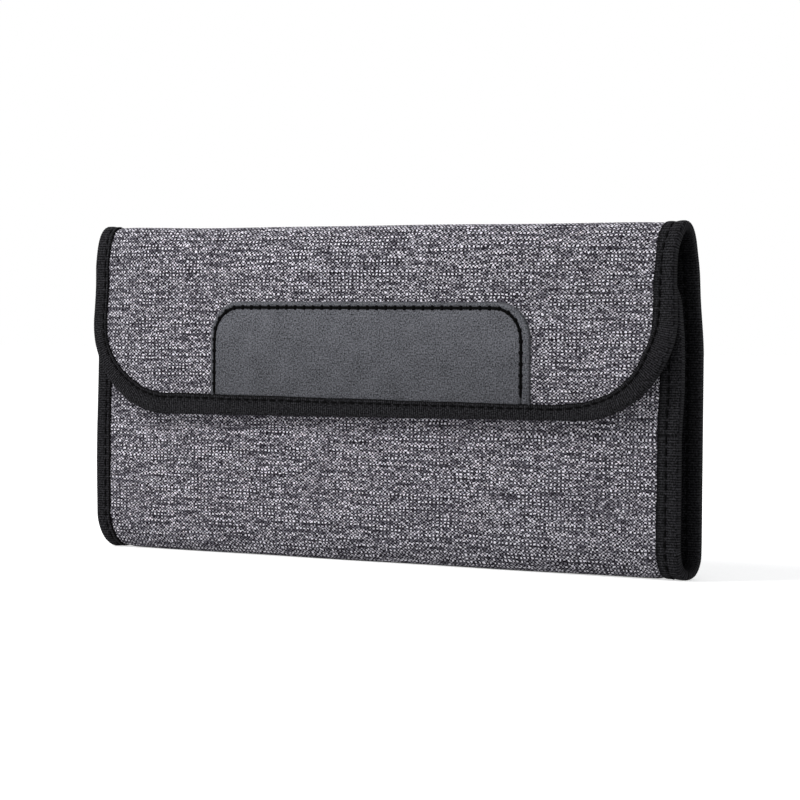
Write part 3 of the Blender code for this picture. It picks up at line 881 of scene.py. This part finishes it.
def finish_group(name, sockets, build):
    """A shader node group from coordinates to colour, height and roughness, made once.

    Sockets are more inputs, each a name and a kind. The function build makes the nodes
    from the inputs and returns the three results by name.
    """
    tree = bpy.data.node_groups.get(name)
    if tree:
        return tree
    tree = bpy.data.node_groups.new(name, "ShaderNodeTree")
    results = (("Color", "Color"), ("Height", "Float"), ("Roughness", "Float"))
    for way, pairs in (("INPUT", (("Vector", "Vector"), *sockets)), ("OUTPUT", results)):
        for label, kind in pairs:
            tree.interface.new_socket(name=label, in_out=way, socket_type="NodeSocket" + kind)
    found = build(tree, node(tree, "NodeGroupInput").outputs)
    node(tree, "NodeGroupOutput", found)
    return tree


def yarn_tone(tree, along, number):
    """A yarn's tone about 0: long slubs, short flecks, and a share that swaps between neighbours.

    Noise runs along the yarn and jumps from one numbered yarn to the next. The swapped
    share is the same for a pair of yarns, with its sign turned on the second.
    """
    slub_pace, fleck_pace = 0.045, 0.35
    own_share, swapped_share = 0.72, 1.6

    def run(pace, index, jump, middle):
        """Noise about 0 along a yarn, at a place of its own for each index."""
        place = joined(tree, maths(tree, "MULTIPLY", along, pace), maths(tree, "MULTIPLY", index, jump))
        return maths(tree, "SUBTRACT", noise(tree, place, 1.5, 0.6), middle)

    pair = maths(tree, "FLOOR", maths(tree, "MULTIPLY", number, 0.5))
    sign = maths(tree, "MULTIPLY_ADD", maths(tree, "FLOORED_MODULO", number, 2.0), -2.0, 1.0)
    swapped = maths(tree, "MULTIPLY", run(slub_pace, pair, 5.31, 0.44), sign)
    slubs, flecks = run(slub_pace, number, 3.71, 0.5), run(fleck_pace, number, 7.37, 0.5)
    own = maths(tree, "MULTIPLY", maths(tree, "MULTIPLY_ADD", flecks, 0.5, slubs), own_share)
    return maths(tree, "MULTIPLY_ADD", swapped, swapped_share, own)


def melange(tree, given):
    """Plain weave of mixed yarns.

    The sign of sin(pi u) sin(pi v), in yarns, says which yarn lies on top of a crossing,
    and its size rounds the crossing off in height and darkens the yarns' edges in colour as
    painted shade. Noise shifts u and v a little, so that no yarn is
    quite straight. A level yarn's tone is noise along u that jumps from yarn to yarn along
    v, with long slubs added; an upright yarn's is the other way round and darker. One
    random number for each crossing breaks both up.
    """
    wander, wander_pace = 1.7, 0.42
    level_swing, level_middle = 1.05, 0.67
    upright_swing, upright_middle = 1.0, -0.2
    speck_swing, crest_shade_swing, crest_shade_middle = 0.50, 0.20, 0.6
    counts = joined(tree, given["Warp"], given["Weft"])
    yarns = vector_maths(tree, "MULTIPLY", given["Vector"], counts)
    values = {"Vector": yarns, "Scale": wander_pace, "Detail": 1.0}
    drift = node(tree, "ShaderNodeTexNoise", values, noise_dimensions="2D").outputs["Color"]
    place = vector_maths(tree, "ADD", yarns, vector_maths(tree, "MULTIPLY", drift, (wander, wander, 0)))
    cell = vector_maths(tree, "FLOOR", place)
    x, y = split_vector(tree, place)
    column, row = split_vector(tree, cell)
    waves = (maths(tree, "SINE", maths(tree, "MULTIPLY", value, math.pi)) for value in (x, y))
    check = maths(tree, "MULTIPLY", *waves)
    speck = node(tree, "ShaderNodeTexWhiteNoise", {"Vector": cell}, noise_dimensions="2D").outputs["Value"]
    level = maths(tree, "MULTIPLY_ADD", yarn_tone(tree, x, row), level_swing, level_middle)
    upright = maths(tree, "MULTIPLY_ADD", yarn_tone(tree, y, column), upright_swing, upright_middle)
    on_top = ranged(tree, check, -0.06, 0.06)
    top = node(tree, "ShaderNodeMix", {0: on_top, 2: upright, 3: level}, data_type="FLOAT").outputs[0]
    value = maths(tree, "MULTIPLY_ADD", maths(tree, "SUBTRACT", speck, 0.5), speck_swing, top)
    # Painted shade: the colour is darker where the crossing's size is small, at the yarns' edges.
    crest = maths(tree, "POWER", maths(tree, "ABSOLUTE", check), 0.5)
    tone = maths(tree, "MULTIPLY_ADD", maths(tree, "SUBTRACT", crest, crest_shade_middle), crest_shade_swing, value)
    light = mixed(tree, ranged(tree, tone, 0.5, 1.0), given["Middle"], given["Light"])
    shade = mixed(tree, ranged(tree, tone, 0.0, 0.5), given["Dark"], given["Middle"])
    return {
        "Color": mixed(tree, ranged(tree, tone, 0.499, 0.501), shade, light),
        "Height": maths(tree, "MULTIPLY_ADD", speck, 0.2, crest),
        "Roughness": ranged(tree, speck, 0.0, 1.0, 0.80, 0.95),
    }


def grain(tree, given):
    """Fine grain: two scales of noise for height, and a slow drift for colour."""
    coarse_pace, cell_pace, cell_edge = 0.07, 0.6, 0.18
    coarse_share, drift_middle, least_gain = 0.15, 0.575, 0.2
    place = scaled(tree, given["Vector"], given["Scale"])
    fine = noise(tree, place, 3.0, 0.6)
    coarse = noise(tree, scaled(tree, place, coarse_pace), 3.0, 0.55)
    cell = {"Vector": scaled(tree, place, cell_pace), "Scale": 1.0}
    cells = node(tree, "ShaderNodeTexVoronoi", cell, feature="DISTANCE_TO_EDGE")
    ridge = ranged(tree, cells.outputs["Distance"], 0.0, cell_edge)
    swing = maths(tree, "SUBTRACT", maths(tree, "MULTIPLY_ADD", coarse, coarse_share, fine), drift_middle)
    gain = maths(tree, "MAXIMUM", maths(tree, "MULTIPLY_ADD", swing, given["Drift"], 1.0), least_gain)
    return {
        "Color": scaled(tree, given["Color"], gain),
        "Height": maths(tree, "MULTIPLY_ADD", ridge, 0.5, fine),
        "Roughness": ranged(tree, coarse, 0.3, 0.7, 0.46, 0.60),
    }


def ribbed(tree, given):
    """Ribbed tape: ridges across the tape's length, with fine yarn noise on them. The ridge and yarn waves
    also make the colour lighter on the crests, as painted light, and darker in the troughs, as painted shade.
    """
    yarns_each_rib, least_gain = 1.7, 0.12
    ridge_share, yarn_share, patch_share = 0.80, 0.10, 0.8
    speck_swing, speck_middle = 9.0, -3.85
    place = scaled(tree, given["Vector"], given["Ribs"])
    along, across = split_vector(tree, place)
    ridge = maths(tree, "COSINE", maths(tree, "MULTIPLY", along, 2 * math.pi))
    yarn = maths(tree, "COSINE", maths(tree, "MULTIPLY", across, 2 * math.pi * yarns_each_rib))
    speck = noise(tree, vector_maths(tree, "MULTIPLY", place, (1.1, 1.6, 1)), 2.0, 0.65)
    patchy = noise(tree, vector_maths(tree, "MULTIPLY", place, (0.12, 0.25, 1)), 2.0, 0.5)
    # The waves are height, and in the colour gain painted light on the crests and painted shade in the
    # troughs.
    weave = maths(tree, "MULTIPLY_ADD", ridge, ridge_share, maths(tree, "MULTIPLY", yarn, yarn_share))
    gain = maths(tree, "MULTIPLY_ADD", speck, speck_swing, speck_middle)
    gain = maths(tree, "ADD", weave, maths(tree, "MULTIPLY_ADD", patchy, patch_share, gain))
    return {
        "Color": scaled(tree, given["Color"], maths(tree, "MAXIMUM", gain, least_gain)),
        "Height": maths(tree, "MULTIPLY_ADD", speck, 0.5, weave),
        "Roughness": ranged(tree, speck, 0.3, 0.7, 0.62, 0.85),
    }


def new_material(name, roughness, specular):
    """A Principled material; returns it with its tree and shader."""
    made = bpy.data.materials.new(name)
    made.use_nodes = True
    shader = made.node_tree.nodes["Principled BSDF"]
    shader.inputs["Roughness"].default_value = roughness
    shader.inputs["Specular IOR Level"].default_value = specular
    return made, made.node_tree, shader


def cloth_vector(tree):
    """The piece's own cloth coordinates, in metres."""
    return node(tree, "ShaderNodeUVMap", uv_map="cloth").outputs["UV"]


def stored(tree, name):
    """A number that the piece stores for each vertex."""
    return node(tree, "ShaderNodeAttribute", attribute_name=name).outputs["Fac"]


def dress(tree, shader, colour, height, distance, strength):
    """Feed a colour to the shader, and a height to its normal through a Bump node."""
    feed(tree, colour, shader.inputs["Base Color"])
    bump = node(tree, "ShaderNodeBump", {"Height": height, "Distance": distance, "Strength": strength})
    feed(tree, bump.outputs["Normal"], shader.inputs["Normal"])


def cover_material(size, colours):
    """Grey melange weave."""
    made, tree, shader = new_material("melange_cover", 0.88, 0.08)
    sockets = [("Warp", "Float"), ("Weft", "Float")]
    sockets += [("Light", "Color"), ("Middle", "Color"), ("Dark", "Color")]
    yarns = {"Light": colours.yarn_light, "Middle": colours.yarn_middle, "Dark": colours.yarn_dark}
    values = {"Vector": cloth_vector(tree), "Warp": 1 / size.warp, "Weft": 1 / size.weft, **yarns}
    weave = finish_group("Melange weave", sockets, melange)
    found = node(tree, "ShaderNodeGroup", values, node_tree=weave).outputs
    dress(tree, shader, found["Color"], found["Height"], 0.10 * MM, 0.3)
    feed(tree, found["Roughness"], shader.inputs["Roughness"])
    return made


def tape_material(size, colours):
    """Black ribbed tape, mixed towards near-black by its stored mask: black marks along the thread with
    painted shade in the stitch groove, and painted shade at the inner edge and on the inner leg.
    """
    made, tree, shader = new_material("ribbed_tape", 0.7, 0.03)
    tape = finish_group("Ribbed tape", (("Ribs", "Float"), ("Color", "Color")), ribbed)
    values = {"Vector": cloth_vector(tree), "Ribs": 1 / size.rib, "Color": colours.tape}
    found = node(tree, "ShaderNodeGroup", values, node_tree=tape).outputs
    # Painted shade and the thread's black marks, from the stored mask.
    groove = maths(tree, "MULTIPLY", stored(tree, "groove"), GROOVE_SHADE)
    dress(tree, shader, mixed(tree, groove, found["Color"], TAPE_DASH_AND_SHADE), found["Height"], 0.10 * MM, 0.7)
    feed(tree, found["Roughness"], shader.inputs["Roughness"])
    return made


def grained(tree, vector, scale, drift, tint):
    """The results of the fine grain on a vector, for a tint."""
    group = finish_group("Fine grain", (("Scale", "Float"), ("Drift", "Float"), ("Color", "Color")), grain)
    values = {"Vector": vector, "Scale": scale, "Drift": drift, "Color": tint}
    return node(tree, "ShaderNodeGroup", values, node_tree=group).outputs


def leather_material(colours):
    """Smooth grained leather, with painted light that makes it paler to its top, painted shade in its stitch
    groove, and darker at its rim.
    """
    made, tree, shader = new_material("patch_leather", 0.55, 0.10)
    found = grained(tree, cloth_vector(tree), 1800.0, 5.5, colours.leather)
    height = split_vector(tree, cloth_vector(tree))[1]
    # Painted light, paler to the top: the colour is scaled by the patch's height.
    fade = ranged(tree, height, PATCH_BOX[0].z, PATCH_BOX[1].z, *LEATHER_TOP_LIGHT)
    top_lit = scaled(tree, found["Color"], fade)
    # Painted shade in the stitch groove.
    groove = maths(tree, "MULTIPLY", stored(tree, "groove"), GROOVE_SHADE)
    rim = maths(tree, "MULTIPLY", stored(tree, "rim"), 0.45)
    edge = mixed(tree, rim, mixed(tree, groove, top_lit, LEATHER_GROOVE_SHADE), LEATHER_RIM)
    dress(tree, shader, edge, found["Height"], 0.05 * MM, 0.45)
    feed(tree, found["Roughness"], shader.inputs["Roughness"])
    return made


def plain_material(name, tint, roughness, scale, drift, bump, specular=0.3, on_cloth=True):
    """A plain finish with fine grain, on the piece's cloth or object coordinates."""
    made, tree, shader = new_material(name, roughness, specular)
    place = cloth_vector(tree) if on_cloth else node(tree, "ShaderNodeTexCoord").outputs["Object"]
    found = grained(tree, place, scale, drift, tint)
    dress(tree, shader, found["Color"], found["Height"], bump, 0.8 if on_cloth else 0.6)
    return made


def finish_piece(made, material, slot, *nodes):
    """Give a piece its material, and hide the solids that it stands for; its slot is not used."""
    made.data.materials.append(material)
    if nodes:
        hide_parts(*nodes)
    return made


def bend_upper(made):
    """Bake the piece's transform into its mesh."""
    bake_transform(made)


def bend_lower(made):
    """Bake the piece's transform into its mesh."""
    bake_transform(made)


def settings(context):
    """The sizes and colours that the pieces are made with."""
    return context.scene.case_sizes, context.scene.case_colours


def add_cloths(size, label, material, slot, offsets, relief):
    """The two cloths of one ply: front with bottom fold, and top fold with flap."""
    line = strip_line(size)
    split, end = line["split"], line["end"]
    spans = (("_lower", 0, split, size.front_corner, bend_lower, ("front_", "bottom_fold_", "back_")),
             ("_upper", split, end, size.flap_corner, bend_upper, ("flap_", "top_fold_")))
    for word, first, last, corner, bend, panels in spans:
        cloth = cloth_strip(label + word, size, first, last, corner, offsets, relief, CLOTH_INSET)
        finish_piece(cloth, material, slot, *(panel + slot for panel in panels))
        bend(cloth)


class CASE_OT_cover(bpy.types.Operator):
    """Make the melange cover of the panels and the folds"""

    bl_idname = "case.cover"
    bl_label = "Cover"

    def execute(self, context):
        size, colours = settings(context)
        material = cover_material(size, colours)
        add_cloths(size, "melange_cover", material, "cover", (PLY, PLY - size.cloth), (1, 0))
        return {"FINISHED"}


class CASE_OT_lining(bpy.types.Operator):
    """Make the black lining of the panels and the folds"""

    bl_idname = "case.lining"
    bl_label = "Lining"

    def execute(self, context):
        size, colours = settings(context)
        material = plain_material("lining_cloth", colours.lining, 0.75, 2600.0, 0.5, 0.06 * MM)
        add_cloths(size, "lining_cloth", material, "lining", (-PLY, size.lining - PLY), (0, 0))
        return {"FINISHED"}


class CASE_OT_tape(bpy.types.Operator):
    """Make the ribbed edge tapes and their lockstitch rows"""

    bl_idname = "case.tape"
    bl_label = "Edge tape"

    def execute(self, context):
        size, colours = settings(context)
        ribbed = tape_material(size, colours)
        thread = plain_material("sewing_thread", colours.thread, 0.8, 6000.0, 0.5, 0.03 * MM, 0.04, False)
        ends = (
            ("lower", False, ("front_binding", "bottom_fold_binding_left", "bottom_fold_binding_right")),
            ("upper", True, ("flap_binding", "top_fold_binding_left", "top_fold_binding_right",
                             "back_binding_left", "back_binding_right")),
        )
        for word, upper, nodes in ends:
            edge = raw_edge(size, upper)
            t = np.linspace(0, edge["end"], int(edge["end"] / (size.rib / 3)))
            rings, uv, dash_and_painted_shade = tape_rings(size, edge, t)
            tape = sweep("edge_tape_" + word, rings, uv)
            # The groove attribute holds the thread's black marks and the painted shade.
            attribute(tape, "groove", dash_and_painted_shade)
            finish_piece(tape, ribbed, "tape", *nodes)
            row = tape_stitches("edge_stitches_" + word, size, edge)
            finish_piece(row, thread, "tape")
            for made in (tape, row):
                (bend_upper if upper else bend_lower)(made)
        return {"FINISHED"}


class CASE_OT_patch(bpy.types.Operator):
    """Make the leather patch, its stitch groove and its thread"""

    bl_idname = "case.patch"
    bl_label = "Leather patch"

    def execute(self, context):
        size, colours = settings(context)
        patch = patch_shell(size)
        holes = groove_path(size)
        finish_piece(patch, leather_material(colours), "patch", "leather_patch")
        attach(patch, "flap")
        step = np.diff(holes, axis=0)
        long = np.linalg.norm(step, axis=1)
        middle = (holes[1:] + holes[:-1]) / 2
        place = FLAP_Y - PATCH_FACE + 0.16 * MM
        centre = np.stack([middle[:, 0], np.full(len(middle), place), middle[:, 1]], 1)
        ways = np.stack([step[:, 0] / long, np.zeros(len(long)), step[:, 1] / long], 1)
        normals = np.repeat([[0.0, -1.0, 0.0]], len(centre), 0)
        centre = settle(centre, size)
        row = stitches("patch_stitches", centre, ways, normals, size.stitch * 0.96, size.thread * 0.8)
        spots = np.stack([holes[1:-1, 0], np.full(len(holes) - 2, place + 0.40 * MM), holes[1:-1, 1]], 1)
        knots = stitches("patch_knots", settle(spots, size), ways[1:], normals[1:], 2.0 * MM, 0.98 * MM)
        for made in (row, knots):
            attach(finish_piece(made, bpy.data.materials["sewing_thread"], "tape"), "flap")
        return {"FINISHED"}


class CASE_OT_closure(bpy.types.Operator):
    """Make the hook tape inside the flap and the loop tape on the front panel"""

    bl_idname = "case.closure"
    bl_label = "Closure tapes"

    def execute(self, context):
        size, colours = settings(context)
        material = plain_material("closure_tape", colours.closure, 0.9, 2200.0, 0.6, 0.08 * MM)
        hook = nubs("hook_field", HOOK_BOX, 1, 1.3 * MM, 0.22 * MM, SEED, size)
        loop = nubs("loop_field", LOOP_BOX, -1, 0.9 * MM, 0.20 * MM, SEED + 1)
        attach(finish_piece(hook, material, "closure", "hook_tape"), "flap")
        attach(finish_piece(loop, material, "closure", "loop_tape"), "front")
        return {"FINISHED"}


class CASE_OT_pockets(bpy.types.Operator):
    """Make the four pockets, their hem bands and their seam stitches"""

    bl_idname = "case.pockets"
    bl_label = "Pockets"

    def execute(self, context):
        size, colours = settings(context)
        soft = plain_material("pocket_cloth", colours.pocket, 0.85, 3200.0, 0.5, 0.06 * MM)
        elastic = plain_material("hem_band", colours.tape, 0.7, 2400.0, 0.6, 0.05 * MM)
        thread = bpy.data.materials["sewing_thread"]
        for number, (panel, inside) in enumerate((("front", 1), ("back", -1))):
            for word in ("left", "right"):
                node_name = f"{panel}_pocket_{word}"
                label = f"{panel}_{word}"
                seed = SEED + 3 * number
                pocket = pocket_shell(f"pocket_cloth_{label}", node_name, inside, seed)
                finish_piece(pocket, soft, "pocket", node_name)
                band = band_shell(f"hem_band_{label}", node_name, inside, seed)
                finish_piece(band, elastic, "tape", node_name + "_band")
                row = pocket_stitches(f"pocket_stitches_{label}", node_name, size, inside, seed)
                finish_piece(row, thread, "tape")
                for made in (pocket, band, row):
                    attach(made, panel)
        return {"FINISHED"}


def flap_board(size):
    """The flap's sealed board: a plate inside the edge by an inset, moved with its cloths."""
    end = strip_line(size)["end"]
    low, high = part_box("flap_board")
    plies = (FLAP_Y - low.y, FLAP_Y - high.y)
    first = end - (high.z - FLAP_LOW)
    return cloth_strip("sealed_board_flap", size, first, end, size.flap_corner, plies, (0, 0), BOARD_INSET)


class CASE_OT_boards(bpy.types.Operator):
    """Make the flap's sealed board and give the other boards their finish"""

    bl_idname = "case.boards"
    bl_label = "Boards"

    def execute(self, context):
        size, colours = settings(context)
        material = plain_material("stiff_board", colours.board, 0.6, 1800.0, 0.25, 0.03 * MM, on_cloth=False)
        for name in ("front_board", "back_board"):
            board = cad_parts[name]
            board.data.materials.clear()
            board.data.materials.append(material)
        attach(finish_piece(flap_board(size), material, "board", "flap_board"), "flap")
        return {"FINISHED"}


CAMERA_AZIMUTH = 34.07
CAMERA_ELEVATION = 1.49
CAMERA_ROLL = -0.46
CAMERA_DISTANCE = 1.040
CAMERA_TARGET = (0.00834, 0.0, 0.0561)
FOCAL_PIXELS = 3037
FRAME_PIXELS = 800
SENSOR = 36

# Each light: name, place, width and power.
LIGHTS = (("key", (-0.47, -0.56, 0.78), 0.34, 6.2),
          ("fill", (0.6, -1.0, 0.35), 0.8, 0.8),
          ("top", (0.1, 0.15, 1.1), 0.9, 2.4))
LIT_POINT = (0, 0, 0.06)
WORLD_TINT = (0.96, 0.98, 1.0)
WORLD_STRENGTH = 0.28
FLOOR_REACH = 6.0
FLOOR_GLOW_RANGE = (0.15, 0.5)
FLOOR_GLOW = (0.58, 1.0)


def turned(x, y, z, place):
    """The matrix with these axes at this place."""
    axes = np.eye(4)
    axes[:3] = np.stack([x, y, z, place], 1)
    return Matrix(axes.tolist())


def add_camera():
    """The camera at the photograph's angle, from its azimuth, elevation, roll and distance."""
    a, e, roll = (math.radians(v) for v in (CAMERA_AZIMUTH, CAMERA_ELEVATION, CAMERA_ROLL))
    back = np.array([math.sin(a) * math.cos(e), -math.cos(a) * math.cos(e), math.sin(e)])
    right = np.array([math.cos(a), math.sin(a), 0.0])
    up = np.cross(back, right)
    tilted_right = math.cos(roll) * right - math.sin(roll) * up
    tilted_up = math.sin(roll) * right + math.cos(roll) * up
    data = bpy.data.cameras.new("camera")
    data.sensor_width = SENSOR
    data.lens = SENSOR * FOCAL_PIXELS / FRAME_PIXELS
    data.clip_start, data.clip_end = 0.01, 100
    camera = bpy.data.objects.new("camera", data)
    place = np.array(CAMERA_TARGET) + back * CAMERA_DISTANCE
    camera.matrix_world = turned(tilted_right, tilted_up, back, place)
    bpy.context.scene.collection.objects.link(camera)
    bpy.context.scene.camera = camera


def add_light(name, place, size, power):
    """A square area light that looks at the middle of the case."""
    data = bpy.data.lights.new(name, "AREA")
    data.shape = "SQUARE"
    data.size = size
    data.energy = power
    light = bpy.data.objects.new(name, data)
    z = np.array(place) - np.array(LIT_POINT)
    z /= np.linalg.norm(z)
    x = np.cross((0, 0, 1), z)
    x /= np.linalg.norm(x)
    light.matrix_world = turned(x, np.cross(z, x), z, place)
    bpy.context.scene.collection.objects.link(light)


def direct_mix(tree, lit, seen):
    """One shader for diffuse light, another for the camera and for what mirrors and glass show."""
    path = node(tree, "ShaderNodeLightPath").outputs
    direct = maths(tree, "ADD", path["Is Camera Ray"], path["Is Glossy Ray"])
    direct = maths(tree, "ADD", direct, path["Is Transmission Ray"], clamp=True)
    return node(tree, "ShaderNodeMixShader", {0: direct, 1: lit, 2: seen}).outputs[0]


def add_world():
    """White where the camera sees it, a soft even grey for the light on the case."""
    world = bpy.data.worlds.new("studio")
    bpy.context.scene.world = world
    world.use_nodes = True
    tree = world.node_tree
    tree.nodes.clear()
    seen = node(tree, "ShaderNodeBackground", {0: (1, 1, 1)}).outputs[0]
    lit = node(tree, "ShaderNodeBackground", {0: WORLD_TINT, 1: WORLD_STRENGTH}).outputs[0]
    node(tree, "ShaderNodeOutputWorld", {0: direct_mix(tree, lit, seen)})


def add_floor(colours):
    """A wide pale floor that keeps the case's shadow and is white to the camera elsewhere."""
    steps = np.linspace(-FLOOR_REACH, FLOOR_REACH, 9)
    x, y = np.meshgrid(steps, steps)
    points = np.stack([x, y, np.zeros_like(x)], -1).reshape(-1, 3)
    floor = add_object("floor", points, grid_quads(9, 9).tolist())
    material, tree, shader = new_material("floor", 0.9, 0.0)
    feed(tree, colours.floor, shader.inputs["Base Color"])
    place = node(tree, "ShaderNodeTexCoord").outputs["Object"]
    away = node(tree, "ShaderNodeVectorMath", {0: place}, operation="LENGTH").outputs["Value"]
    glow = node(tree, "ShaderNodeEmission", {1: ranged(tree, away, *FLOOR_GLOW_RANGE, *FLOOR_GLOW)})
    seen = node(tree, "ShaderNodeAddShader", {0: shader.outputs[0], 1: glow.outputs[0]}).outputs[0]
    feed(tree, direct_mix(tree, shader.outputs[0], seen), tree.nodes["Material Output"].inputs[0])
    floor.data.materials.append(material)


class CASE_OT_stage(bpy.types.Operator):
    """Make the camera, the floor, the lights and the world"""

    bl_idname = "case.stage"
    bl_label = "Stage"

    def execute(self, context):
        add_camera()
        add_world()
        add_floor(context.scene.case_colours)
        for light in LIGHTS:
            add_light(*light)
        context.scene.view_settings.view_transform = "Standard"
        return {"FINISHED"}


PIECE_OPERATORS = (
    CASE_OT_cover,
    CASE_OT_lining,
    CASE_OT_tape,
    CASE_OT_patch,
    CASE_OT_closure,
    CASE_OT_pockets,
    CASE_OT_boards,
    CASE_OT_stage,
)


class CASE_PT_panel(bpy.types.Panel):
    """Sizes, colours and pieces of the filter case"""

    bl_idname = "CASE_PT_panel"
    bl_label = "Filter case"
    bl_space_type = "VIEW_3D"
    bl_region_type = "UI"
    bl_category = "Case"

    def draw(self, context):
        for group in (context.scene.case_sizes, context.scene.case_colours):
            column = self.layout.column()
            for key in group.bl_rna.properties.keys():
                if key not in ("rna_type", "name"):
                    column.prop(group, key)
        for operator in PIECE_OPERATORS:
            self.layout.operator(operator.bl_idname)


CLASSES = (CaseSizes, CaseColours, *PIECE_OPERATORS, CASE_PT_panel)


def register():
    for cls in CLASSES:
        bpy.utils.register_class(cls)
    bpy.types.Scene.case_sizes = bpy.props.PointerProperty(type=CaseSizes)
    bpy.types.Scene.case_colours = bpy.props.PointerProperty(type=CaseColours)


def unregister():
    del bpy.types.Scene.case_colours
    del bpy.types.Scene.case_sizes
    for cls in reversed(CLASSES):
        bpy.utils.unregister_class(cls)


def main():
    """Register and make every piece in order."""
    register()
    bpy.ops.case.cover()
    bpy.ops.case.lining()
    bpy.ops.case.tape()
    bpy.ops.case.patch()
    bpy.ops.case.closure()
    bpy.ops.case.pockets()
    bpy.ops.case.boards()
    bpy.ops.case.stage()


if __name__ == "__main__":
    main()
